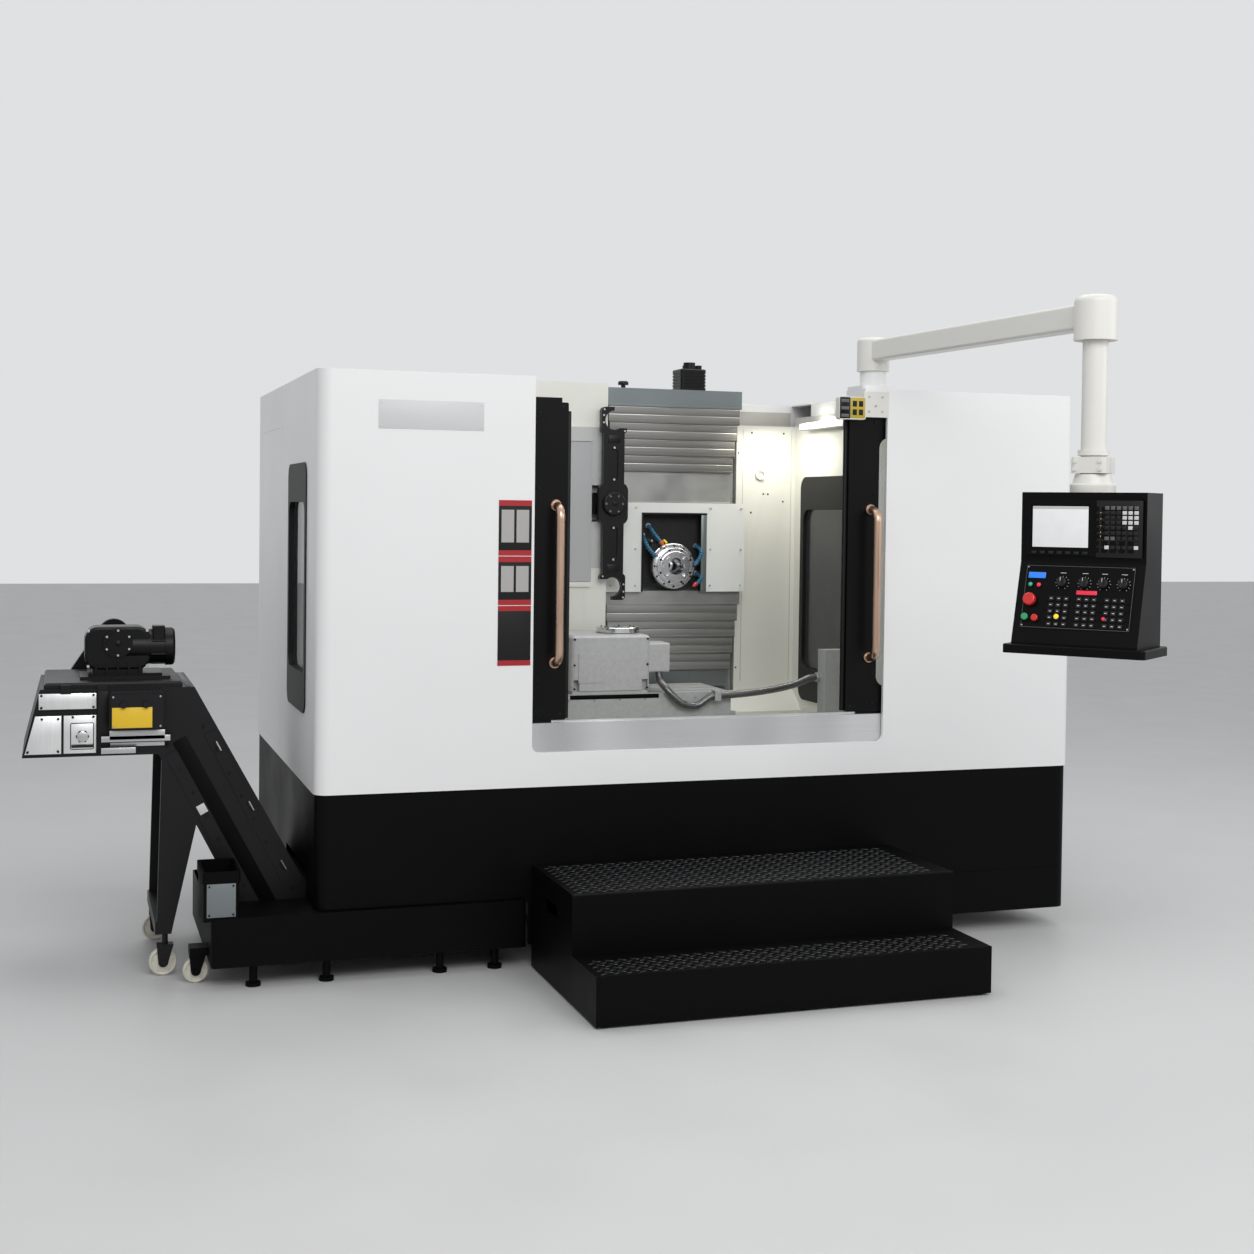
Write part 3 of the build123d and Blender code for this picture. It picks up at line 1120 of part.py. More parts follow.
def saddle():
    x = (SADDLE_LEFT_X, SADDLE_RIGHT_X)
    y = (-400, SADDLE_BACK_Y)
    body = along_z(rectangle(x, y, 12), SADDLE_LOW_Z, SADDLE_TOP_Z)
    hollow = rectangle((x[0] + 60, x[1] - 60), (y[0] + 130, y[1] - 130), 30)
    body -= along_z(hollow, SADDLE_LOW_Z - 1, SADDLE_TOP_Z - 60)
    for ry in (TABLE_FRONT_Y + 55, TABLE_BACK_Y - 55):
        half = TABLE_RAIL_WIDTH / 2
        body += block((x[0] + 6, x[1] - 6), (ry - half, ry + half),
                      (SADDLE_TOP_Z - 1, SADDLE_TOP_Z + TABLE_RAIL_HEIGHT))
    for side in (-1, 1):
        middle = SADDLE_RAIL_MID_X + side * SADDLE_RAIL_X
        for by in (-362, -90):
            shoe = block((middle - 48, middle + 48), (by, by + 90), (BED_TOP_Z + 12, SADDLE_LOW_Z + 2))
            gap = SADDLE_RAIL_WIDTH / 2 + 0.5
            shoe -= block((middle - gap, middle + gap), (by - 1, by + 91),
                          (BED_TOP_Z, BED_TOP_Z + SADDLE_RAIL_HEIGHT + 0.5))
            body += shoe
    wing = block((x[1] - 30, HOSE_BOX_X + HOSE_BOX_WIDTH / 2), (HOSE_BOX_FRONT_Y, TABLE_FRONT_Y - 15),
                 (SADDLE_TOP_Z - 26, HOSE_BOX_LOW_Z - 20))
    wing += block((x[1] - 80, x[1] - 28), (HOSE_BOX_FRONT_Y, y[0] + 2),
                  (SADDLE_TOP_Z - 90, HOSE_BOX_LOW_Z - 20))
    half = HOSE_BOX_WIDTH / 2
    box = block((HOSE_BOX_X - half, HOSE_BOX_X + half),
                (HOSE_BOX_FRONT_Y, HOSE_BOX_FRONT_Y + HOSE_BOX_DEPTH),
                (HOSE_BOX_LOW_Z, HOSE_BOX_LOW_Z + HOSE_BOX_HEIGHT))
    box = fillet(box.edges().filter_by(Axis.Z), 5)
    foot = block((HOSE_BOX_X - 40, HOSE_BOX_X + 40),
                 (HOSE_BOX_FRONT_Y + 8, HOSE_BOX_FRONT_Y + HOSE_BOX_DEPTH - 8),
                 (HOSE_BOX_LOW_Z - 21, HOSE_BOX_LOW_Z + 1))
    return body + wing + box + foot


def table():
    x = (TABLE_LEFT_X, TABLE_RIGHT_X)
    y = (TABLE_FRONT_Y, TABLE_BACK_Y)
    body = along_z(rectangle(x, y, 3), TABLE_LOW_Z, TABLE_TOP_Z)
    for ry in (y[0] + 55, y[1] - 55):
        gap = TABLE_RAIL_WIDTH / 2 + 0.5
        body -= block((x[0] - 1, x[1] + 1), (ry - gap, ry + gap),
                      (TABLE_LOW_Z - 1, SADDLE_TOP_Z + TABLE_RAIL_HEIGHT + 0.5))
    for i in range(3):
        middle = y[0] + 65 + i * 105
        half = SLOT_WIDTH / 2
        body -= block((x[0] - 1, x[1] + 1), (middle - half, middle + half),
                      (TABLE_TOP_Z - SLOT_DEPTH, TABLE_TOP_Z + 1))
        body -= block((x[0] - 1, x[1] + 1), (middle - half - 5, middle + half + 5),
                      (TABLE_TOP_Z - SLOT_DEPTH, TABLE_TOP_Z - SLOT_DEPTH + 11))
    front = y[0] - APRON_THICK
    apron = along_y(rectangle(x, (TABLE_LOW_Z + 17, TABLE_TOP_Z), 3), front, y[0])
    body += apron
    rivets = 9
    for i in range(rivets):
        px = x[0] + 50 + i * (x[1] - x[0] - 100) / (rivets - 1)
        for pz in (TABLE_LOW_Z + 38, TABLE_TOP_Z - 24):
            body -= along_y(disc(px, pz, 5), front - 1, front + 4)
    clip_x = (HOSE_CLIP_X - HOSE_CLIP_LENGTH / 2, HOSE_CLIP_X + HOSE_CLIP_LENGTH / 2)
    clip = block(clip_x, (front - 2 * HOSE_R - 14, front + 1),
                 (HOSE_CLIP_Z - HOSE_R - 5, HOSE_CLIP_Z + HOSE_R + 6))
    hose_y = TABLE_FRONT_Y - HOSE_OUT
    clip -= along_x(disc(hose_y, HOSE_CLIP_Z, HOSE_R + 0.1), clip_x[0] - 5, clip_x[1] + 5)
    return body + clip


def table_hose():
    """The armoured hose between the rotary table's motor and the box beside the table."""
    y = TABLE_FRONT_Y - HOSE_OUT
    box_x = HOSE_BOX_X - HOSE_BOX_WIDTH / 2
    points = [(-47, ROTARY_FRONT_Y + 25, 994.5), (-47, ROTARY_FRONT_Y + 25, 966), (-38, y, 938),
              (20, y, 868), (100, y, 862), (HOSE_CLIP_X - 28, y, HOSE_CLIP_Z),
              (HOSE_CLIP_X + 50, y, HOSE_CLIP_Z),
              (380, y, 914), (520, y, 938), (box_x - 50, y, 968), (box_x, y, 968)]
    line = FilletPolyline(*points, radius=HOSE_BEND_R)
    tube = sweep((line ^ 0) * Circle(HOSE_R), path=line)
    return tube


def rotary_body():
    """The cast rotary-table housing, round on top where the faceplate turns."""
    x = (ROTARY_LEFT_X, ROTARY_RIGHT_X)
    y = (ROTARY_FRONT_Y, ROTARY_BACK_Y)
    low = TABLE_TOP_Z + ROTARY_FOOT_Z
    foot = along_z(rectangle((x[0] + 6, x[1] - 6), (y[0] + 6, y[1] - 6), 6), TABLE_TOP_Z, low)
    body = along_z(rectangle(x, y, 16), low, ROTARY_TOP_Z)
    body = chamfer(body.edges().group_by(Axis.Z)[-1], 9)
    neck = along_z(disc(FACE_X, FACE_Y, FACE_R - 8), ROTARY_TOP_Z - 2, ROTARY_TOP_Z + 4)
    body += foot + neck
    body -= along_z(disc(FACE_X, FACE_Y, FACE_BORE_R + 5), low + 40, ROTARY_TOP_Z + 5)
    motor = block((x[1] - 2, x[1] + 87), (y[0] + 15, y[0] + 145), (995, 1112))
    motor = fillet(motor.edges().filter_by(Axis.X), 8)
    plate = block((x[0] + 30, x[0] + 120), (y[0] - 3, y[0] + 2), (960, 1075))
    for px in (x[0] + 22, x[1] - 22):
        body -= along_z(rectangle((px - 12, px + 12), (y[0] - 5, y[0] + 24)), low - 1, low + 44)
    return body + motor + plate


def faceplate():
    top = ROTARY_TOP_Z + 4.3
    plate = along_z(disc(FACE_X, FACE_Y, FACE_R), top, top + FACE_THICK)
    plate = chamfer(plate.edges().group_by(Axis.Z)[-1], 2)
    shank = along_z(disc(FACE_X, FACE_Y, FACE_BORE_R + 5 - RUNNING_FIT),
                    ROTARY_TOP_Z - 120, top + 1)
    plate += shank
    plate -= along_z(disc(FACE_X, FACE_Y, FACE_BORE_R), ROTARY_TOP_Z - 130, top + FACE_THICK + 1)
    for i in range(4):
        arm = block((FACE_BORE_R + 12, FACE_R + 5), (-6, 6), (top + FACE_THICK - 12, top + FACE_THICK + 1))
        wide = block((FACE_BORE_R + 12, FACE_R + 5), (-10, 10), (top + FACE_THICK - 12, top + FACE_THICK - 6))
        plate -= Pos(FACE_X, FACE_Y, 0) * (Rot(0, 0, 45 + 90 * i) * (arm + wide))
    return plate


# Operator pendant

def pendant_arm():
    """The beam between the post on the machine and the mast of the control unit."""
    near = along_z(disc(POST_X, POST_Y, ELBOW_R), ELBOW_LOW_Z, ELBOW_TOP_Z)
    near = fillet(near.edges().group_by(Axis.Z)[-1], 14)
    near -= along_z(disc(POST_X, POST_Y, 30 + RUNNING_FIT), ELBOW_LOW_Z - 1, ELBOW_LOW_Z + 80)
    far = along_z(disc(MAST_X, MAST_Y, ELBOW_R + 5), ELBOW_LOW_Z, ELBOW_TOP_Z + 12)
    far = fillet(far.edges().group_by(Axis.Z)[-1], 22)
    far -= along_z(disc(MAST_X, MAST_Y, 30 + RUNNING_FIT), ELBOW_LOW_Z - 1, ELBOW_LOW_Z + 80)
    dx = MAST_X - POST_X
    dy = MAST_Y - POST_Y
    length = math.hypot(dx, dy)
    section = RectangleRounded(BEAM_WIDTH, BEAM_HEIGHT, 10)
    beam = along_x(section, 50, length - 50)
    turned = Rot(0, 0, math.degrees(math.atan2(dy, dx))) * beam
    return near + far + Pos(POST_X, POST_Y, BEAM_LOW_Z + BEAM_HEIGHT / 2) * turned


def pendant_mast():
    tube = along_z(disc(0, 0, MAST_R), PENDANT_TOP_Z + 20, ELBOW_LOW_Z - 0.5)
    spigot = along_z(disc(0, 0, 30), ELBOW_LOW_Z - 1, ELBOW_LOW_Z + 70)
    collar = along_z(disc(0, 0, MAST_R + 9), 1832, 1848)
    clamp = along_z(rectangle((-55, 55), (-55, 55), 14), 1776, 1826)
    clamp -= block((-60, 60), (-2, 2), (1775, 1827))
    flange = revolve(outline([(0, PENDANT_TOP_Z + 27), (64, PENDANT_TOP_Z + 27), (55, PENDANT_TOP_Z + 57),
                              (0, PENDANT_TOP_Z + 57)]), Axis.Y)
    flange = Rot(90, 0, 0) * flange
    base = along_z(disc(0, 0, 70), PENDANT_TOP_Z, PENDANT_TOP_Z + 28)
    base = fillet(base.edges().group_by(Axis.Z)[-1], 6)
    mast = tube + spigot + collar + clamp + flange + base
    for x in (-40, 40):
        for z in (1789, 1813):
            mast += along_y(disc(x, z, 6), -61, -54)
    return Pos(MAST_X, MAST_Y, 0) * (Rot(0, 0, PENDANT_TURN) * mast)


def on_pendant(shape):
    return Pos(MAST_X, MAST_Y, 0) * (Rot(0, 0, PENDANT_TURN) * shape)


def slant_place(x, z):
    """A place on the slanted desk of the pendant, facing out of it."""
    height = PENDANT_SPLIT_Z - PENDANT_LIP_Z - 10
    share = (PENDANT_SPLIT_Z - z) / height
    y = -PENDANT_FRONT - share * PENDANT_SLANT
    tilt = math.degrees(math.atan2(PENDANT_SLANT, height))
    return Pos(x, y, z) * Rot(90 - tilt, 0, 0)


def pendant_case():
    half = PENDANT_WIDTH / 2
    low = PENDANT_LIP_Z + 10
    profile = outline([
        (-PENDANT_FRONT, PENDANT_TOP_Z),
        (PENDANT_BACK, PENDANT_TOP_Z),
        (PENDANT_BACK, low - 10),
        (-PENDANT_FRONT - PENDANT_SLANT, low - 10),
        (-PENDANT_FRONT - PENDANT_SLANT, low),
        (-PENDANT_FRONT, PENDANT_SPLIT_Z),
    ])
    case = along_x(profile, -half, half)
    lip_half = LIP_WIDTH / 2
    lip_y = (-PENDANT_FRONT - PENDANT_SLANT - LIP_DEPTH, PENDANT_BACK)
    lip = along_z(rectangle((-lip_half, lip_half), lip_y, 16), PENDANT_LOW_Z, PENDANT_LIP_Z + 3)
    lip = fillet(lip.edges().group_by(Axis.Z)[-1], 5)
    case += lip
    middle_z = 1388
    plate = slant_place(-3, middle_z) * Box(347, 198, 3)
    case += plate
    display = slant_place(-137, 1456) * Box(61, 24, 8)
    case += display
    for column in range(10):
        for row in range(3):
            x = -90 + column * 27
            if column in (3, 7):
                continue
            case += slant_place(x, 1384 - row * 26) * Box(19, 17, 9)
    for x, z, radius in ((-155, 1427, 8), (-128, 1426, 8), (-61, 1331, 9), (86, 1330, 7)):
        case += slant_place(x, z) * Cylinder(radius, 12)
    for x, z in stations():
        case += slant_place(x, z) * Cylinder(16, 6)
        case -= slant_place(x, z) * Pos(0, 0, -9) * Cylinder(STEM_R + RUNNING_FIT, 40)
    return on_pendant(case)


def knob_places():
    return [(-55, 1435), (15, 1435), (75, 1435), (136, 1435)]


def stations():
    return knob_places() + [(-149, 1379), (-160, 1326), (-128, 1324)]


def knob(number):
    x, z = knob_places()[number]
    body = Cylinder(15, 15, align=(Align.CENTER, Align.CENTER, Align.MIN))
    body = fillet(body.edges().group_by(Axis.Z)[-1], 3)
    bar = Pos(0, 0, 15) * RectangleRounded(8, 28, 3.5)
    body += extrude(bar, 6)
    body += Pos(0, 0, -22) * Cylinder(STEM_R, 23, align=(Align.CENTER, Align.CENTER, Align.MIN))
    return on_pendant(slant_place(x, z) * Pos(0, 0, 3.4) * body)


def push_button(place, radius, height, travel):
    body = Cylinder(radius, height, align=(Align.CENTER, Align.CENTER, Align.MIN))
    body = fillet(body.edges().group_by(Axis.Z)[-1], height * 0.35)
    body += Pos(0, 0, -22) * Cylinder(STEM_R, 23, align=(Align.CENTER, Align.CENTER, Align.MIN))
    return on_pendant(slant_place(*place) * Pos(0, 0, 3.4 + travel) * body)


def display_unit():
    """The screen unit on the upright front of the pendant, with its soft keys."""
    half = SCREEN_UNIT_WIDTH / 2
    z = (SCREEN_UNIT_Z - SCREEN_UNIT_HEIGHT / 2, SCREEN_UNIT_Z + SCREEN_UNIT_HEIGHT / 2)
    front = -PENDANT_FRONT - 12
    unit = along_y(rectangle((-half + 3, half + 3), z, 8), front, -PENDANT_FRONT)
    screen = rectangle((-162, 24), (1541, 1677), 3)
    unit -= along_y(screen, front - 1, front + 4)
    unit += along_y(rectangle((-158, 20), (1545, 1673)), front + 2.5, front + 5)
    for i in range(7):
        x = -150 + i * 27
        unit += along_y(rectangle((x - 9, x + 9), (1524, 1534), 2), front - 2.5, front + 1)
    for row in range(7):
        for column in range(5):
            x = 44 + column * 27
            top = 1672 - row * 21
            unit += along_y(rectangle((x - 9, x + 9), (top - 14, top), 2), front - 2.5, front + 1)
    return on_pendant(unit)


# Chip conveyor

def casing_points():
    return [
        (CASE_TAIL_X, CASE_LOW_Z),
        (CASE_KNEE_X, CASE_LOW_Z),
        (CASE_ELBOW_X, CASE_HEAD_LOW_Z),
        (CASE_MOUTH_X, CASE_HEAD_LOW_Z),
        (CASE_MOUTH_X + CASE_HEAD_SLOPE, CASE_HEAD_TOP_Z),
        (CASE_HEAD_RIGHT_X, CASE_HEAD_TOP_Z),
        (CASE_FOOT_X, CASE_TROUGH_TOP_Z),
        (CASE_TAIL_X, CASE_TROUGH_TOP_Z),
    ]


def caster_fork(x, y, wheel_r, top):
    """A swivel plate with two cheeks and the axle, fixed under a leg."""
    cheek_y = WHEEL_WIDTH / 2 + 2
    drawing = disc(x, wheel_r, 17) + outline([(x - 17, wheel_r), (x + 17, wheel_r),
                                              (x + 34, wheel_r * 2 + 12), (x - 22, wheel_r * 2 + 12)])
    fork = along_y(drawing, y - cheek_y - 4, y - cheek_y)
    fork += along_y(drawing, y + cheek_y, y + cheek_y + 4)
    fork += block((x - 22, x + 34), (y - cheek_y - 4, y + cheek_y + 4),
                  (wheel_r * 2 + 8, wheel_r * 2 + 14))
    fork += along_z(disc(x + 6, y, 10), wheel_r * 2 + 13, top)
    fork += along_y(disc(x, wheel_r, AXLE_R), y - cheek_y - 9, y + cheek_y + 9)
    return fork


def caster_wheel(x, y, wheel_r):
    profile = outline([(AXLE_R + RUNNING_FIT, -WHEEL_WIDTH / 2 - 1), (wheel_r - 12, -WHEEL_WIDTH / 2 + 4),
                       (wheel_r - 5, -WHEEL_WIDTH / 2), (wheel_r, -WHEEL_WIDTH / 2 + 5),
                       (wheel_r, WHEEL_WIDTH / 2 - 5), (wheel_r - 5, WHEEL_WIDTH / 2),
                       (wheel_r - 12, WHEEL_WIDTH / 2 - 4), (AXLE_R + RUNNING_FIT, WHEEL_WIDTH / 2 + 1)])
    return Pos(x, y, wheel_r) * revolve(profile, Axis.Y)


def slope_x(z):
    """Where the casing's lower slope is at a height."""
    share = (z - CASE_LOW_Z) / (CASE_HEAD_LOW_Z - CASE_LOW_Z)
    return CASE_KNEE_X + share * (CASE_ELBOW_X - CASE_KNEE_X)


def slope_strips():
    """Two stiffening strips along the slope, on the front side."""
    dx = CASE_ELBOW_X - CASE_KNEE_X
    dz = CASE_HEAD_LOW_Z - CASE_LOW_Z
    run = math.hypot(dx, dz)
    across_x = dz / run
    across_z = -dx / run
    middle_x = (BELT_KNEE_X + BELT_ELBOW_X) / 2
    middle_z = (BELT_LOW_Z + BELT_TOP_Z) / 2
    drawing = None
    for across, width in ((-72, 46), (74, 40)):
        strip = Rot(0, 0, math.degrees(math.atan2(dz, dx))) * Rectangle(run * 0.80, width)
        strip = Pos(middle_x + across * across_x, middle_z + across * across_z) * strip
        drawing = strip if drawing is None else drawing + strip
    return along_y(drawing, CASE_FRONT_Y - CASE_WALL, CASE_FRONT_Y + 1)


def head_plates():
    """The bolted plates on the front side of the head, with a gap between each two."""
    low_z = CASE_HEAD_LOW_Z
    top_z = CASE_HEAD_TOP_Z
    left_x = CASE_MOUTH_X
    bar_x = BELT_HEAD_X + 103
    top = outline([(left_x + 50, top_z - 72), (bar_x, top_z - 72), (bar_x, top_z - 10),
                   (left_x + 66, top_z - 10)])
    corner = outline([(left_x + 5, low_z + 8), (BELT_HEAD_X - 11, low_z + 8), (BELT_HEAD_X - 11, low_z + 146),
                      (left_x + 42, low_z + 146)])
    middle = rectangle((BELT_HEAD_X - 11, bar_x), (low_z + 8, low_z + 146))
    low = outline([(bar_x + 40, low_z + 29), (CASE_ELBOW_X + 22, low_z + 29), (CASE_ELBOW_X + 8, low_z + 55),
                   (bar_x + 40, low_z + 55)])
    front = CASE_FRONT_Y
    plates = along_y(top + corner + low, front - CASE_PLATE, front + 1)
    plates += along_y(middle, front - CASE_PLATE + 2, front + 1)
    plates += block((bar_x, bar_x + 37), (front - 14, front + 1), (low_z + 4, top_z - 6))
    return plates


def belt_tightener():
    """Slotted plate beside the head shaft, with its big screw and the lug that holds it."""
    front = CASE_FRONT_Y
    x = BELT_HEAD_X + 54
    z = CASE_HEAD_LOW_Z + 71
    plate = along_y(rectangle((x - 40, x + 38), (z - 46, z + 46), 6), front - 8, front + 1)
    plate -= along_y(rectangle((x - 30, x + 30), (z + 26, z + 40), 6.5), front - 9, front - 3)
    screw = along_y(RegularPolygon(22, 6), -14, 1)
    plate += Pos(x, front - 8, z) * screw
    plate += along_x(disc(front - 12, z - 34, 5), x - 36, x + 37)
    return plate


def head_fittings():
    """Cover, straps, motor plate and cable channels on the head."""
    front = CASE_FRONT_Y
    top_z = CASE_HEAD_TOP_Z
    x = BELT_HEAD_X
    lid = block((CASE_MOUTH_X + CASE_HEAD_SLOPE + 13, CASE_HEAD_RIGHT_X - 40),
                (front + 12, CASE_BACK_Y - 12), (top_z - 1, top_z + 20))
    fittings = chamfer(lid.edges().group_by(Axis.Z)[-1], 7)
    for strap in (x - 18, x + 102):
        fittings += block((strap, strap + 34), (front - 8, front + 14), (top_z - 16, top_z + 14))
    fittings += block((x + 47, x + 352), (front + 110, front + 330), (top_z + 19, top_z + 30))
    for low, length in ((47, 235), (7, 120)):
        z = CASE_HEAD_LOW_Z + low
        fittings += block((x + 112, x + 112 + length), (front - 26, front + 1), (z, z + 26))
    return fittings


def leg_and_caster(y):
    """A leg under the slope with its swivel caster."""
    foot_z = 2 * WHEEL_R + 50
    knee_z = CASE_HEAD_LOW_Z - 216
    top_z = CASE_HEAD_LOW_Z - 16
    leg = outline([(CASTER_X - 23, foot_z), (CASTER_X + 27, foot_z), (slope_x(knee_z) + 27, knee_z),
                   (slope_x(top_z) + 33, top_z), (slope_x(top_z) + 3, top_z)])
    return along_y(leg, y - 12, y + 12) + caster_fork(CASTER_X, y, WHEEL_R, foot_z + 2)


def conveyor_casing():
    shape = outline(casing_points())
    inside = offset(shape, -CASE_WALL, kind=Kind.INTERSECTION)
    body = along_y(shape, CASE_FRONT_Y, CASE_BACK_Y)
    body -= along_y(inside, CASE_FRONT_Y + CASE_WALL, CASE_BACK_Y - CASE_WALL)
    inlet_y = (CASE_FRONT_Y + 40, CASE_BACK_Y - 40)
    body -= block((CASE_FOOT_X + 92, CASE_TAIL_X - 30), inlet_y,
                  (CASE_TROUGH_TOP_Z - 20, CASE_TROUGH_TOP_Z + 5))
    body -= block((CASE_MOUTH_X + 16, CASE_MOUTH_X + 214), inlet_y,
                  (CASE_HEAD_LOW_Z - 5, CASE_HEAD_LOW_Z + 10))
    ring = disc(BELT_HEAD_X, BELT_TOP_Z, BEARING_R) - disc(BELT_HEAD_X, BELT_TOP_Z, SHAFT_R + 0.6)
    for y, out in ((CASE_FRONT_Y, (CASE_WALL - 1, 14)), (CASE_BACK_Y, (-1, 10))):
        body -= along_y(disc(BELT_HEAD_X, BELT_TOP_Z, SHAFT_R + RUNNING_FIT), y - 10, y + 10)
        body += along_y(ring, y + out[0], y + out[1])
    body += slope_strips() + head_plates() + belt_tightener() + control_box() + head_fittings()
    for y in (CASE_FRONT_Y + 12, CASE_BACK_Y - 12):
        body += leg_and_caster(y)
    body += block((CASTER_X - 28, CASTER_X + 27), (CASE_FRONT_Y + 1, CASE_BACK_Y - 1),
                  (2 * WHEEL_R + 48, 2 * WHEEL_R + 90))
    for x in (CASE_KNEE_X + 62, CASE_TAIL_X - 130):
        body += block((x - 30, x + 30), (CASE_FRONT_Y + 20, CASE_BACK_Y - 20),
                      (TANK_LOW_Z + TANK_WALL, CASE_LOW_Z + 1))
    return body


def control_box():
    """The switch box on the head's front, with its lid and two switch bases."""
    front = CASE_FRONT_Y
    x = (BELT_HEAD_X + 140, BELT_HEAD_X + 319)
    z = (CASE_HEAD_TOP_Z - 135, CASE_HEAD_TOP_Z - 8)
    box = block(x, (front - 85, front + 1), z)
    box = fillet(box.edges().filter_by(Axis.Y), 8)
    box += along_y(rectangle((x[0] + 4, x[1] - 4), (z[0] + 4, z[1] - 4), 6), front - 92, front - 84)
    for switch_x in (x[0] + 45, x[0] + 120):
        box += along_y(disc(switch_x, z[0] + 87, 11), front - 104, front - 91)
    return box


def slot_between(a, b, radius):
    """A long hole between two points of a drawing."""
    dx = b[0] - a[0]
    dy = b[1] - a[1]
    turned = Rot(0, 0, math.degrees(math.atan2(dy, dx))) * Rectangle(math.hypot(dx, dy), 2 * radius)
    middle = Pos((a[0] + b[0]) / 2, (a[1] + b[1]) / 2) * turned
    return middle + disc(a[0], a[1], radius) + disc(b[0], b[1], radius)


def belt_drawing(radius):
    points = [(BELT_TAIL_X, BELT_LOW_Z), (BELT_KNEE_X, BELT_LOW_Z), (BELT_ELBOW_X, BELT_TOP_Z),
              (BELT_HEAD_X, BELT_TOP_Z)]
    drawing = slot_between(points[0], points[1], radius)
    for a, b in zip(points[1:], points[2:]):
        drawing += slot_between(a, b, radius)
    return drawing


def conveyor_belt():
    ring = belt_drawing(BELT_R) - belt_drawing(BELT_R - BELT_THICK)
    y = (CASE_FRONT_Y + BELT_SIDE_GAP, CASE_BACK_Y - BELT_SIDE_GAP)
    belt = along_y(ring, y[0], y[1])
    first_x = BELT_TAIL_X - 60
    top = BELT_LOW_Z + BELT_R
    for i in range(int((first_x - BELT_KNEE_X) / FLIGHT_PITCH) + 1):
        x = first_x - i * FLIGHT_PITCH
        belt += block((x - 3, x + 3), (y[0] + 12, y[1] - 12), (top - 1, top + FLIGHT_HEIGHT))
    return belt


def drive_shaft():
    y = (CASE_FRONT_Y + 2, CASE_BACK_Y + 40)
    shaft = along_y(disc(BELT_HEAD_X, BELT_TOP_Z, SHAFT_R), y[0], y[1])
    shaft = chamfer(shaft.edges().group_by(Axis.Y)[0], 2)
    hub_r = BELT_R - BELT_THICK - 8
    drawing = disc(BELT_HEAD_X, BELT_TOP_Z, hub_r)
    for i in range(SPROCKET_TEETH):
        tooth = Rot(0, 0, 360 * i / SPROCKET_TEETH) * (Pos(hub_r, 0) * Rectangle(15, 9))
        drawing += Pos(BELT_HEAD_X, BELT_TOP_Z) * tooth
    for low in (CASE_FRONT_Y + 44, CASE_BACK_Y - 60):
        shaft += along_y(drawing, low, low + 14)
    return shaft


def gearmotor():
    """Worm gear motor on the conveyor's head, with the chain guard down its back."""
    x = MOTOR_X
    low = CASE_HEAD_TOP_Z + 30
    y = (CASE_FRONT_Y + 120, CASE_FRONT_Y + 320)
    motor_y = y[0] + 55
    motor_z = low + 100
    disc_z = low + 118
    half = GEAR_WIDTH / 2
    house = rectangle((x - half, x + half), (low + 22, low + 22 + GEAR_HEIGHT), 46)
    gear = along_y(house, y[0], y[0] + 118)
    gear = fillet(gear.edges().group_by(Axis.Y)[0], 10)
    gear += along_y(disc(x, disc_z, GEAR_DISC_R), y[0] - 14, y[0] + 1)
    gear += along_y(disc(x, disc_z, GEAR_DISC_R - 14), y[0] - 20, y[0] - 13)
    foot = block((x - half + 12, x + half + 40), (y[0], y[1]), (low, low + 10))
    web = block((x - half + 26, x + half - 26), (y[0] + 4, y[0] + 104), (low + 8, low + 60))
    for i in range(5):
        rib_x = x - half + 34 + i * (GEAR_WIDTH - 74) / 4
        web += block((rib_x, rib_x + 7), (y[0] - 8, y[0] + 6), (low + 8, low + 44))
    motor = along_x(disc(motor_y, motor_z, MOTOR_R), x + 25, x + 165)
    cowl = along_x(disc(motor_y, motor_z, MOTOR_R + 5), x + 163, x + 196)
    cowl = fillet(cowl.edges().group_by(Axis.X)[-1], 12)
    terminal = block((x + 118, x + 160), (y[0] - 4, y[0] + 60), (motor_z + 20, motor_z + MOTOR_R + 14))
    terminal = fillet(terminal.edges().filter_by(Axis.Z), 6)
    for i in range(8):
        turn = math.radians(45 * i + 22.5)
        fin = disc(motor_y + MOTOR_R * math.cos(turn), motor_z + MOTOR_R * math.sin(turn), 4)
        motor += along_x(fin, x + half + 3, x + 163.5)
    output = along_y(disc(x, disc_z, 14), y[0] + 100, CASE_BACK_Y + 12)
    guard_line = slot_between((x, disc_z), (BELT_HEAD_X, BELT_TOP_Z), BEARING_R + 10)
    guard = along_y(guard_line, CASE_BACK_Y + 10.5, CASE_BACK_Y + 58)
    guard -= along_y(disc(BELT_HEAD_X, BELT_TOP_Z, SHAFT_R + 4), CASE_BACK_Y, CASE_BACK_Y + 44)
    guard = fillet(guard.edges().group_by(Axis.Y)[-1], 6)
    return gear + foot + web + motor + cowl + terminal + output + guard


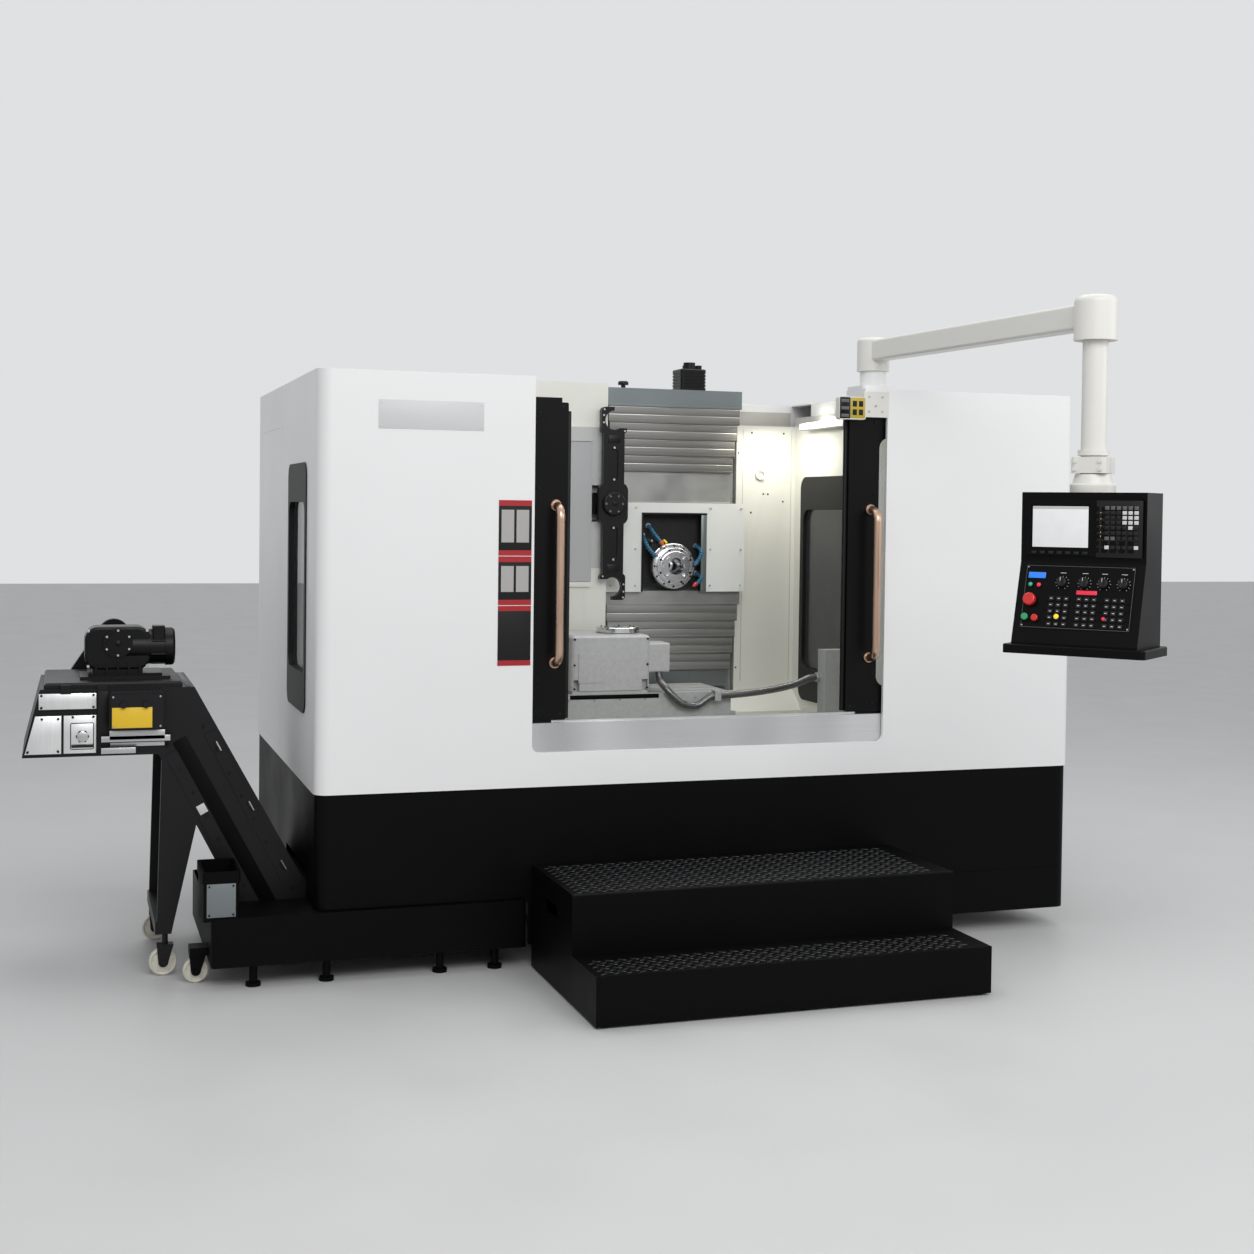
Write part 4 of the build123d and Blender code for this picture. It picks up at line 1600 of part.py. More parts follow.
def coolant_tank():
    """The low tray that the conveyor stands in, with a covered front and a raised left end."""
    x = (TANK_LEFT_X, TANK_RIGHT_X)
    y = (TANK_FRONT_Y, TANK_BACK_Y)
    body = along_z(rectangle(x, y, 14), TANK_LOW_Z, TANK_TOP_Z)
    inside = rectangle((x[0] + TANK_WALL, x[1] - TANK_WALL), (y[0] + TANK_WALL, y[1] - TANK_WALL), 10)
    body -= along_z(inside, TANK_LOW_Z + TANK_WALL, TANK_TOP_Z + 1)
    cover_back = CASE_FRONT_Y - 16
    body += block((x[0] + 2, x[1] - 2), (y[0] + 2, cover_back), (TANK_TOP_Z - TANK_WALL, TANK_TOP_Z))
    body += block((x[0] + 2, x[1] - 2), (cover_back - TANK_WALL, cover_back), (TANK_TOP_Z - 90, TANK_TOP_Z))
    end_x = (x[0] - 26, x[0] + 92)
    end_y = (y[0] + 6, cover_back - 12)
    wall = TANK_WALL
    end = along_z(rectangle(end_x, end_y, 10), TANK_TOP_Z - 10, TANK_END_TOP_Z)
    end -= along_z(rectangle((end_x[0] + wall, end_x[1] - wall), (end_y[0] + wall, end_y[1] - wall), 6),
                   TANK_TOP_Z + 6, TANK_END_TOP_Z + 1)
    lip = along_z(rectangle((end_x[0] - 5, end_x[1] + 5), (end_y[0] - 5, end_y[1] + 5), 12)
                  - rectangle(end_x, end_y, 10), TANK_END_TOP_Z - 37, TANK_END_TOP_Z)
    body += end + lip
    for px in (x[0] + 145, x[0] + 395, x[1] - 305, x[1] - 105):
        for py in (y[0] + 45, y[1] - 45):
            body += along_z(disc(px, py, 14), 12, TANK_LOW_Z + 1)
            body += along_z(disc(px, py, 26), 0, 13)
    body += block((TANK_WHEEL_X - 22, x[0] + 1), (TANK_WHEEL_Y - 36, TANK_WHEEL_Y + 36),
                  (2 * TANK_WHEEL_R + 12, 2 * TANK_WHEEL_R + 40))
    body += caster_fork(TANK_WHEEL_X, TANK_WHEEL_Y, TANK_WHEEL_R, 2 * TANK_WHEEL_R + 20)
    return body


# Steps

def step_platform():
    """Two folded treads with side walls, hollow and open underneath."""
    x = (STEP_LEFT_X, STEP_RIGHT_X)
    side = outline([
        (STEP_FRONT_Y, STEP_FOOT),
        (STEP_BACK_Y, STEP_FOOT),
        (STEP_BACK_Y, STEP_TOP_Z),
        (STEP_MID_Y, STEP_TOP_Z),
        (STEP_MID_Y, STEP_LOW_Z),
        (STEP_FRONT_Y, STEP_LOW_Z),
    ])
    body = along_x(side, x[0], x[1])
    body = fillet(body.edges().filter_by(Axis.X).group_by(Axis.Z)[-1], 6)
    inside = offset(side, -SHEET, kind=Kind.INTERSECTION)
    body -= along_x(inside, x[0] + SHEET, x[1] - SHEET)
    body -= block((x[0] + SHEET, x[1] - SHEET), (STEP_FRONT_Y + SHEET, STEP_BACK_Y - SHEET),
                  (0, STEP_FOOT + SHEET + 1))
    middle = (STEP_MID_Y + STEP_BACK_Y) / 2
    hand = rectangle((middle - 70, middle + 70), (250, 292), 20)
    body -= along_x(hand, x[0] - 1, x[1] + 1)
    for px in (x[0] + 40, 0, x[1] - 40):
        for py in (STEP_FRONT_Y + 40, STEP_MID_Y, STEP_BACK_Y - 40):
            body += along_z(disc(px, py, 22), 0, STEP_FOOT + 8)
            top = STEP_LOW_Z if py < STEP_MID_Y + 1 else STEP_TOP_Z
            body += block((px - 3, px + 3), (py - 26, py - 1), (STEP_FOOT, top - SHEET + 1))
    body += block((x[0] + 1, x[1] - 1), (STEP_MID_Y - 1, STEP_MID_Y + 2), (STEP_FOOT + 20, STEP_LOW_Z))
    return body


parts = {
    "bed": bed(),
    "front_fascia": front_fascia(),
    "rear_shell": rear_shell(),
    "side_windows": side_windows(),
    "window_gaskets": window_gaskets(),
    "skirt": skirt(),
    "sill": sill(),
    "work_room_liner": work_room(),
    "step_platform": step_platform(),
    "door_interlock": door_interlock(),
    "left_door": door_frame(DOOR_OPEN_LEFT_X, 1),
    "left_door_glass": door_glass(DOOR_OPEN_LEFT_X, 1),
    "left_handle": door_handle(DOOR_OPEN_LEFT_X - 44),
    "right_door": door_frame(DOOR_OPEN_RIGHT_X, -1),
    "right_door_glass": door_glass(DOOR_OPEN_RIGHT_X, -1),
    "right_handle": door_handle(DOOR_OPEN_RIGHT_X + 94),
    "column": column(),
    "column_covers": column_covers(),
    "column_motor": column_motor(),
    "headstock": headstock(),
    "head_cover": head_cover(),
    "spindle": spindle(),
    "coolant_lines": coolant_lines(),
    "changer_gearbox": changer_gearbox(),
    "changer_quill": changer_quill(),
    "changer_arm": changer_arm(),
    "tool_magazine": tool_magazine(),
    "changer_shutter": changer_shutter(),
    "saddle": saddle(),
    "table": table(),
    "rotary_body": rotary_body(),
    "faceplate": faceplate(),
    "table_hose": table_hose(),
    "pendant_arm": pendant_arm(),
    "pendant_mast": pendant_mast(),
    "pendant_case": pendant_case(),
    "display_unit": display_unit(),
    "emergency_stop": push_button((-149, 1379), 20, 16, 6.0),
    "start_button": push_button((-160, 1326), 11, 8, 4.0),
    "stop_button": push_button((-128, 1324), 11, 8, 4.0),
    "conveyor_casing": conveyor_casing(),
    "conveyor_belt": conveyor_belt(),
    "drive_shaft": drive_shaft(),
    "gearmotor": gearmotor(),
    "coolant_tank": coolant_tank(),
    "conveyor_wheel_front": caster_wheel(CASTER_X, CASE_FRONT_Y + 12, WHEEL_R),
    "conveyor_wheel_back": caster_wheel(CASTER_X, CASE_BACK_Y - 12, WHEEL_R),
    "tank_wheel": caster_wheel(TANK_WHEEL_X, TANK_WHEEL_Y, TANK_WHEEL_R),
}
for n in range(COVER_COUNT):
    parts[f"upper_cover_{n + 1}"] = upper_cover(n + 1)
    parts[f"lower_cover_{n + 1}"] = lower_cover(n + 1)
for n in range(4):
    parts[f"knob_{n + 1}"] = knob(n)

os.makedirs("parts", exist_ok=True)
for name, shape in parts.items():
    export_step(shape, f"parts/{name}.step")
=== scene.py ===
import math

import bpy
from mathutils import Matrix, Vector


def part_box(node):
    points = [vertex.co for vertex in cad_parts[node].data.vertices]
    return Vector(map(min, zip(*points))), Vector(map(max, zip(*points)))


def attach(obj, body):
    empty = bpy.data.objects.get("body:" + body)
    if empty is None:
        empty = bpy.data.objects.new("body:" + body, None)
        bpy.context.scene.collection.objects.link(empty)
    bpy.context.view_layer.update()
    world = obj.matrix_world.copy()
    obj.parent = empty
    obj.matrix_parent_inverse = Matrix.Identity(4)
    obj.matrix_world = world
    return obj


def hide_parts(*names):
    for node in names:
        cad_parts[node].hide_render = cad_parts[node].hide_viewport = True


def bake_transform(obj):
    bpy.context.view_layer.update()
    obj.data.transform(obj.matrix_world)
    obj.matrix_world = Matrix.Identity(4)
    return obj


bl_info = {
    "name": "Horizontal machining center",
    "version": (1, 1, 0),
    "blender": (4, 5, 0),
    "location": "View3D > Sidebar > Machine",
    "description": "Dresses a horizontal machining center that is built on a packed CAD frame",
    "category": "Object",
}

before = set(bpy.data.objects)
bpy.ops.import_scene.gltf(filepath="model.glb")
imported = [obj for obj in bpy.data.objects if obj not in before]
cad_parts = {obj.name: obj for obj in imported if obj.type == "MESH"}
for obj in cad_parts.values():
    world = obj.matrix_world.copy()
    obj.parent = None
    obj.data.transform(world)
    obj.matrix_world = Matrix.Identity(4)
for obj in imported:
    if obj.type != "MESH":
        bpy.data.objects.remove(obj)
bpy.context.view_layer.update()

FRONT, UP, RIGHT, LEFT = (0, -1, 0), (0, 0, 1), (1, 0, 0), (-1, 0, 0)

# Places on the machine that several pieces share, in metres
SPINDLE_X, SPINDLE_Z = 0.150, 1.408
WINDOW_LOW = 1.2985
MAST = (0.725, -2.170, 0.0)
PENDANT_TURN = math.radians(-52.0)
DIALS, DIALS_Z = (-0.055, 0.015, 0.075, 0.136), 1.435
ROOM_BACK = 0.170
ROOF_FLANGE_Y = 0.226
CONVEYOR_FRONT = -0.650
PANEL_FRONT = -0.890

SUNK = 0.0005  # how deep the foot of a screw goes into its face
NOISE = (0.3, 0.7)  # the range in which most of a noise lies


class MachineSettings(bpy.types.PropertyGroup):
    """Sizes and colours of the dressed machine"""
    sheet_color: bpy.props.FloatVectorProperty(
        name="Enclosure colour", description="Powder coat of the enclosure's sheets",
        subtype="COLOR", size=3, min=0, max=1, default=(0.82, 0.82, 0.82))
    skirt_color: bpy.props.FloatVectorProperty(
        name="Base colour", description="Powder coat of the skirt, steps, tank and conveyor",
        subtype="COLOR", size=3, min=0, max=1, default=(0.0025, 0.0025, 0.0028))
    liner_color: bpy.props.FloatVectorProperty(
        name="Work room colour", description="Paint of the lining inside the machine",
        subtype="COLOR", size=3, min=0, max=1, default=(0.78, 0.78, 0.72))
    handle_color: bpy.props.FloatVectorProperty(
        name="Handle colour", description="Anodised metal of the bow handles",
        subtype="COLOR", size=3, min=0, max=1, default=(0.62, 0.43, 0.32))
    pendant_color: bpy.props.FloatVectorProperty(
        name="Pendant colour", description="Paint of the operator pendant's case",
        subtype="COLOR", size=3, min=0, max=1, default=(0.0025, 0.0025, 0.0028))
    coolant_color: bpy.props.FloatVectorProperty(
        name="Coolant hose colour", description="Plastic of the jointed coolant hoses",
        subtype="COLOR", size=3, min=0, max=1, default=(0.02, 0.13, 0.23))
    plate_color: bpy.props.FloatVectorProperty(
        name="Plate colour", description="Bare plate on the conveyor's switch box",
        subtype="COLOR", size=3, min=0, max=1, default=(0.80, 0.52, 0.02))
    tread_pitch: bpy.props.FloatProperty(
        name="Lozenge pitch", description="Distance between the lozenges on the treads",
        subtype="DISTANCE", unit="LENGTH", min=0.02, default=0.044)
    tread_rise: bpy.props.FloatProperty(
        name="Lozenge height", description="How far a lozenge stands above the tread",
        subtype="DISTANCE", unit="LENGTH", min=0.0005, default=0.0018)
    hose_pitch: bpy.props.FloatProperty(
        name="Hose pitch", description="Length of one ridge of the table hose",
        subtype="DISTANCE", unit="LENGTH", min=0.004, default=0.0062)
    link_length: bpy.props.FloatProperty(
        name="Coolant link", description="Length of one link of a coolant hose",
        subtype="DISTANCE", unit="LENGTH", min=0.006, default=0.0115)
    work_light: bpy.props.FloatProperty(
        name="Work light", description="Power of the lamp under the work room's roof",
        subtype="POWER", unit="POWER", min=0, default=2.6)


def settings():
    """The sizes and colours of the sidebar."""
    return bpy.context.scene.machine_settings


# Helpers for modelling

def start():
    """Leaves edit mode and deselects everything before a new piece."""
    if bpy.context.object and bpy.context.object.mode != "OBJECT":
        bpy.ops.object.mode_set(mode="OBJECT")
    bpy.ops.object.select_all(action="DESELECT")


def modify(piece, kind, **values):
    """Adds a modifier, sets it and applies it."""
    bpy.context.view_layer.objects.active = piece
    modifier = piece.modifiers.new(kind.title(), kind)
    for key, value in values.items():
        setattr(modifier, key, value)
    bpy.ops.object.modifier_apply(modifier=modifier.name)
    return piece


def soften(piece, width):
    """Rounds the piece's sharp edges a little."""
    return modify(piece, "BEVEL", width=width, segments=2, limit_method="ANGLE")


def coated(piece, paint):
    """Gives the piece one of the paints."""
    piece.data.materials.append(paints[paint])
    return piece


def block(low, high, paint, bevel=0.0):
    """A block between two corners with soft edges."""
    start()
    low, high = Vector(low), Vector(high)
    bpy.ops.mesh.primitive_cube_add(size=1.0, location=(low + high) / 2)
    piece = bpy.context.object
    piece.scale = high - low
    bpy.ops.object.transform_apply(location=True, rotation=True, scale=True)
    if bevel > 0:
        soften(piece, bevel)
    return coated(piece, paint)


def drawn(profile, sides, fill):
    """Rings of radius and height, drawn one after another out of a circle."""
    start()
    radius, height = profile[0]
    bpy.ops.mesh.primitive_circle_add(vertices=sides, radius=radius, fill_type=fill)
    piece = bpy.context.object
    bpy.ops.object.mode_set(mode="EDIT")
    bpy.ops.mesh.select_all(action="SELECT")
    bpy.ops.transform.translate(value=(0, 0, height))
    for wide, tall in profile[1:]:
        share = wide / radius
        bpy.ops.mesh.extrude_region_move()
        bpy.ops.transform.translate(value=(0, 0, tall - height))
        bpy.ops.transform.resize(value=(share, share, 1), center_override=(0, 0, tall))
        radius, height = wide, tall
    return piece


def stood(piece, middle, axis, paint):
    """Leaves edit mode, stands the piece along an axis and coats it."""
    bpy.ops.object.mode_set(mode="OBJECT")
    turn = Vector(UP).rotation_difference(Vector(axis)).to_matrix().to_4x4()
    piece.data.transform(Matrix.Translation(Vector(middle)) @ turn)
    return coated(piece, paint)


def lathe(middle, axis, profile, paint, sides):
    """A turned piece: rings of radius and height along an axis, closed at both ends."""
    return stood(drawn(profile, sides, "NGON"), middle, axis, paint)


def collar(middle, axis, outer, inner, thick, paint, sides=48):
    """A flat ring with chamfered rims, its back at the middle."""
    edge = min(0.0012, thick / 3)
    piece = drawn(((inner, 0.0), (outer, 0.0), (outer, thick - edge), (outer - edge, thick),
                   (inner + edge, thick), (inner, thick - edge), (inner, 0.0)), sides, "NOTHING")
    bpy.ops.mesh.select_all(action="SELECT")
    bpy.ops.mesh.remove_doubles(threshold=0.00001)
    return stood(piece, middle, axis, paint)


def pin(middle, axis, radius, length, paint):
    """A round pin with chamfered ends, centred on its middle."""
    half = length / 2
    edge = min(0.001, half * 0.8, radius * 0.8)
    profile = ((radius - edge, -half), (radius, edge - half), (radius, half - edge), (radius - edge, half))
    return lathe(middle, axis, profile, paint, 24)


def socket_screw(foot, axis, radius, paint):
    """A cap screw with a socket sunk into its head, standing on its foot."""
    tall = radius * 1.1
    profile = ((radius, -SUNK), (radius, tall * 0.85), (radius * 0.86, tall), (radius * 0.52, tall),
               (radius * 0.46, tall * 0.35))
    return lathe(foot, axis, profile, paint, 18)


def hex_head(foot, axis, radius, tall):
    """A hexagon head with its upper corners turned off."""
    return lathe(foot, axis, ((radius, -SUNK), (radius, tall * 0.8), (radius * 0.86, tall)), "bolt", 6)


def dome(foot, axis, radius, tall, paint):
    """A low round head, also the cap of a lamp."""
    rise = [(radius * math.cos(turn), tall * math.sin(turn)) for turn in (0.45, 0.85, 1.2, 1.45)]
    return lathe(foot, axis, [(radius, 0.0)] + rise, paint, 20)


def grid(columns, rows):
    """Places in columns and rows."""
    return [(column, row) for column in columns for row in rows]


def around(x, z, reach, count, first=0.0):
    """Places on a circle, the first one at an angle from its right."""
    turns = [math.radians(first + 360 / count * number) for number in range(count)]
    return [(x + reach * math.cos(turn), z + reach * math.sin(turn)) for turn in turns]


def screws(places, y, radius, paint="oxide"):
    """Cap screws on an upright face, each at its X and Z."""
    return [socket_screw((x, y, z), FRONT, radius, paint) for x, z in places]


def domes(places, y, radius, tall, paint="oxide"):
    """Round heads on an upright face, each at its X and Z."""
    return [dome((x, y, z), FRONT, radius, tall, paint) for x, z in places]


def repeat(piece, count, step):
    """A straight row of copies."""
    return modify(piece, "ARRAY", count=count, use_relative_offset=False,
                  use_constant_offset=True, constant_offset_displace=step)


def join(name, pieces):
    """Makes one object of several and gives it a plain name."""
    start()
    for piece in pieces:
        piece.select_set(True)
    bpy.context.view_layer.objects.active = pieces[0]
    if len(pieces) > 1:
        bpy.ops.object.join()
    whole = bpy.context.object
    whole.name = name
    whole.data.name = name
    bpy.ops.object.mode_set(mode="EDIT")
    bpy.ops.mesh.select_all(action="SELECT")
    bpy.ops.mesh.normals_make_consistent(inside=False)
    bpy.ops.object.mode_set(mode="OBJECT")
    bpy.ops.object.shade_smooth_by_angle(angle=math.radians(35))
    return whole


def mount(name, pieces, body):
    """Joins pieces that ride on a body."""
    whole = join(name, pieces)
    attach(whole, body)
    return whole


def route(points):
    """A smooth curve led by the points of a hose."""
    start()
    bpy.ops.curve.primitive_nurbs_path_add()
    path = bpy.context.object
    spline = path.data.splines[0]
    spline.points.add(len(points) - len(spline.points))
    for point, place in zip(spline.points, points):
        point.co = (*place, 1.0)
    spline.order_u = 3
    spline.use_endpoint_u = True
    path.data.resolution_u = 16
    path.data.use_deform_bounds = True
    return path


def strung(points, rings, pitch, paint, sides=20):
    """One turned link without its end faces, repeated along a route and bent to it."""
    path = route(points)
    link = lathe((0, 0, 0), RIGHT, rings, paint, sides)
    start()
    link.select_set(True)
    bpy.context.view_layer.objects.active = link
    bpy.ops.object.mode_set(mode="EDIT")
    bpy.ops.mesh.select_mode(type="FACE")
    bpy.ops.mesh.select_all(action="DESELECT")
    bpy.ops.object.mode_set(mode="OBJECT")
    for face in link.data.polygons:
        face.select = len(face.vertices) > 4
    bpy.ops.object.mode_set(mode="EDIT")
    bpy.ops.mesh.delete(type="ONLY_FACE")
    bpy.ops.object.mode_set(mode="OBJECT")
    modify(link, "ARRAY", fit_type="FIT_CURVE", curve=path, use_relative_offset=False,
           use_constant_offset=True, constant_offset_displace=(pitch, 0, 0),
           use_merge_vertices=True, merge_threshold=0.0001)
    modify(link, "CURVE", object=path, deform_axis="POS_X")
    bpy.data.objects.remove(path)
    return link


def pendant_matrix():
    """Turns a place on the pendant, given from its mast, into one on the machine."""
    return Matrix.Translation(MAST) @ Matrix.Rotation(PENDANT_TURN, 4, "Z")


def slant_matrix(x, z):
    """A place on the slanted desk of the pendant, its Z pointing out of the desk."""
    top, front = 1.499, -0.085
    height, depth = 0.249, 0.075
    tilt = math.atan2(depth, height)
    place = Matrix.Translation((x, front - (top - z) / height * depth, z))
    return pendant_matrix() @ place @ Matrix.Rotation(math.pi / 2 - tilt, 4, "X")


def laid(piece, matrix):
    """Moves the piece's mesh by a matrix."""
    piece.data.transform(matrix)
    return piece


# Materials

def new_material(name):
    """A material with its tree, its shader and its coordinates."""
    material = bpy.data.materials.new(name)
    material.use_nodes = True
    tree = material.node_tree
    shader = tree.nodes["Principled BSDF"]
    place = tree.nodes.new("ShaderNodeTexCoord")
    return material, tree, shader, place


def noise(tree, place, scale, detail=4.0, stretch=(1, 1, 1)):
    """Noise on the piece; a small stretch draws it out along that axis."""
    mapping = tree.nodes.new("ShaderNodeMapping")
    mapping.inputs["Scale"].default_value = stretch
    tree.links.new(place.outputs["Object"], mapping.inputs["Vector"])
    node = tree.nodes.new("ShaderNodeTexNoise")
    node.inputs["Scale"].default_value = scale
    node.inputs["Detail"].default_value = detail
    tree.links.new(mapping.outputs["Vector"], node.inputs["Vector"])
    return node.outputs["Fac"]


def ramp(tree, value, low, high, first, last):
    """Maps what lies between low and high to what lies between first and last."""
    node = tree.nodes.new("ShaderNodeMapRange")
    node.inputs["From Min"].default_value = low
    node.inputs["From Max"].default_value = high
    node.inputs["To Min"].default_value = first
    node.inputs["To Max"].default_value = last
    tree.links.new(value, node.inputs["Value"])
    return node.outputs["Result"]


def sums(tree, how, first, second):
    """One step of arithmetic on two sockets or numbers."""
    node = tree.nodes.new("ShaderNodeMath")
    node.operation = how
    for number, value in enumerate((first, second)):
        if isinstance(value, (int, float)):
            node.inputs[number].default_value = value
        else:
            tree.links.new(value, node.inputs[number])
    return node.outputs["Value"]


def axes(tree, place):
    """X, Y and Z of a place on the piece."""
    node = tree.nodes.new("ShaderNodeSeparateXYZ")
    tree.links.new(place.outputs["Object"], node.inputs["Vector"])
    return tuple(node.outputs)


def inside(tree, value, low, high):
    """One between two limits, nought outside them."""
    above, below = sums(tree, "GREATER_THAN", value, low), sums(tree, "LESS_THAN", value, high)
    return sums(tree, "MULTIPLY", above, below)


def blend_colors(tree, value, first, last):
    """Goes from one colour or socket to another as the value goes from nought to one."""
    node = tree.nodes.new("ShaderNodeMix")
    node.data_type = "RGBA"
    for socket, color in (("A", first), ("B", last)):
        if isinstance(color, tuple):
            node.inputs[socket].default_value = (*color, 1)
        else:
            tree.links.new(color, node.inputs[socket])
    tree.links.new(value, node.inputs["Factor"])
    return node.outputs["Result"]


def bump(tree, shader, value, strength, distance):
    """Raises the surface where the value is high."""
    node = tree.nodes.new("ShaderNodeBump")
    node.inputs["Strength"].default_value = strength
    node.inputs["Distance"].default_value = distance
    tree.links.new(value, node.inputs["Height"])
    tree.links.new(node.outputs["Normal"], shader.inputs["Normal"])


def toned(color, share):
    """The same colour, darker or brighter."""
    return tuple(min(1.0, part * share) for part in color)


def painted(name, color, rough, metal=0.0, grain=420.0, shift=0.06, coat=0.0, gloss=0.5):
    """Powder coat or paint: a fine orange peel, slow changes of tone and of shine."""
    material, tree, shader, place = new_material(name)
    slow = noise(tree, place, 2.3)
    fine = noise(tree, place, grain, 2.0)
    tree.links.new(blend_colors(tree, slow, toned(color, 1 - shift), toned(color, 1 + shift / 2)),
                   shader.inputs["Base Color"])
    tree.links.new(ramp(tree, slow, *NOISE, rough * 0.85, rough * 1.15), shader.inputs["Roughness"])
    shader.inputs["Metallic"].default_value = metal
    shader.inputs["Coat Weight"].default_value = coat
    shader.inputs["Specular IOR Level"].default_value = gloss
    bump(tree, shader, fine, 0.35, 0.0004)
    return material


def brushed(name, color, rough, stretch, scale=260.0, depth=0.0003, reflection_bands=0.0):
    """Ground or brushed metal with its lines along one direction, and soft bands across it that are painted
    reflection.
    """
    material, tree, shader, place = new_material(name)
    lines = noise(tree, place, scale, 3.0, stretch)
    slow = noise(tree, place, 3.0)
    tone = blend_colors(tree, lines, toned(color, 0.82), color)
    # Painted reflection: soft darker bands across the lines stand for the room reflected in the steel.
    if reflection_bands:
        across = ramp(tree, noise(tree, place, 2.6, 1.0, (1, 0, 0)), 0.35, 0.65, 0.0, 1.0)
        tone = blend_colors(tree, across, toned(color, 1 - reflection_bands), tone)
    tree.links.new(tone, shader.inputs["Base Color"])
    tree.links.new(ramp(tree, slow, *NOISE, rough * 0.8, rough * 1.25), shader.inputs["Roughness"])
    shader.inputs["Metallic"].default_value = 1.0
    bump(tree, shader, lines, 0.25, depth)
    return material


def slatted(name, low, pitch, color):
    """Way cover steel with painted light: every slat has a painted highlight at its top edge and painted
    shade that darkens towards the lip below it.
    """
    material, tree, shader, place = new_material(name)
    height = axes(tree, place)[2]
    step = sums(tree, "FRACT", sums(tree, "DIVIDE", sums(tree, "SUBTRACT", height, low), pitch), 0.0)
    lines = noise(tree, place, 300.0, 3.0, (0.02, 1, 1))
    stains = ramp(tree, noise(tree, place, 5.0, 5.0, (1, 1, 2)), 0.35, 0.7, 0.0, 1.0)
    # Painted highlight and shade: the colour runs from dark at each slat's foot to pale at its top edge.
    shade = blend_colors(tree, ramp(tree, step, 0.05, 0.95, 0.0, 1.0), toned(color, 0.5), toned(color, 1.15))
    shade = blend_colors(tree, sums(tree, "MULTIPLY", lines, 0.5), shade, toned(color, 0.6))
    shade = blend_colors(tree, sums(tree, "MULTIPLY", stains, 0.35), shade, toned(color, 0.62))
    tree.links.new(shade, shader.inputs["Base Color"])
    tree.links.new(ramp(tree, lines, *NOISE, 0.30, 0.44), shader.inputs["Roughness"])
    shader.inputs["Metallic"].default_value = 0.85
    bump(tree, shader, lines, 0.3, 0.0004)
    return material


def cast(name, color, rough=0.55):
    """Painted casting: a coarse skin with darker hollows."""
    material, tree, shader, place = new_material(name)
    coarse = noise(tree, place, 60.0, 6.0)
    tree.links.new(blend_colors(tree, coarse, toned(color, 0.75), color), shader.inputs["Base Color"])
    shader.inputs["Roughness"].default_value = rough
    bump(tree, shader, coarse, 0.4, 0.0015)
    return material


def head_sheets(name, paint, steel):
    """White panels beside the window, bare steel plates above and below them."""
    material, tree, shader, place = new_material(name)
    panels_top, panels_back = 1.6775, 0.0745
    _, y, z = axes(tree, place)
    white = sums(tree, "MULTIPLY", inside(tree, z, WINDOW_LOW, panels_top),
                 sums(tree, "LESS_THAN", y, panels_back))
    lines = noise(tree, place, 220.0, 3.0, (0.04, 1, 1))
    clouds = ramp(tree, noise(tree, place, 9.0, 5.0), *NOISE, 0.0, 1.0)
    bare = blend_colors(tree, clouds, toned(steel, 0.80), steel)
    bare = blend_colors(tree, sums(tree, "MULTIPLY", lines, 0.3), bare, toned(steel, 0.7))
    coat = blend_colors(tree, noise(tree, place, 4.0), toned(paint, 0.95), paint)
    tree.links.new(blend_colors(tree, white, bare, coat), shader.inputs["Base Color"])
    tree.links.new(ramp(tree, white, 0.0, 1.0, 0.85, 0.0), shader.inputs["Metallic"])
    tree.links.new(ramp(tree, clouds, 0.0, 1.0, 0.34, 0.44), shader.inputs["Roughness"])
    bump(tree, shader, lines, 0.15, 0.0003)
    return material


def spindle_housing(name, steel, casting):
    """The turned rings round the spindle, and behind them the carriage in near-black, painted shade of the
    window's recess.
    """
    material, tree, shader, place = new_material(name)
    nose_radius, nose_back, groove_turns = 0.0985, 0.106, 2400.0
    x, y, z = axes(tree, place)
    squares = [sums(tree, "POWER", sums(tree, "ABSOLUTE", sums(tree, "SUBTRACT", value, middle), 0.0), 2.0)
               for value, middle in ((x, SPINDLE_X), (z, SPINDLE_Z))]
    reach = sums(tree, "SQRT", sums(tree, "ADD", *squares), 0.0)
    turned = sums(tree, "MULTIPLY", sums(tree, "LESS_THAN", reach, nose_radius),
                  sums(tree, "LESS_THAN", y, nose_back))
    wave = sums(tree, "SINE", sums(tree, "MULTIPLY", reach, groove_turns), 0.0)
    rings = ramp(tree, wave, -1.0, 1.0, 0.0, 1.0)
    rough = noise(tree, place, 70.0, 5.0)
    bright = blend_colors(tree, rings, toned(steel, 0.86), steel)
    # Painted shade: the near-black carriage stands for the shade inside the recess behind the window.
    dark = blend_colors(tree, rough, toned(casting, 0.5), casting)
    tree.links.new(blend_colors(tree, turned, dark, bright), shader.inputs["Base Color"])
    tree.links.new(turned, shader.inputs["Metallic"])
    tree.links.new(ramp(tree, turned, 0.0, 1.0, 0.6, 0.26), shader.inputs["Roughness"])
    shader.inputs["Specular IOR Level"].default_value = 0.3
    bump(tree, shader, rough, 0.2, 0.0006)
    return material


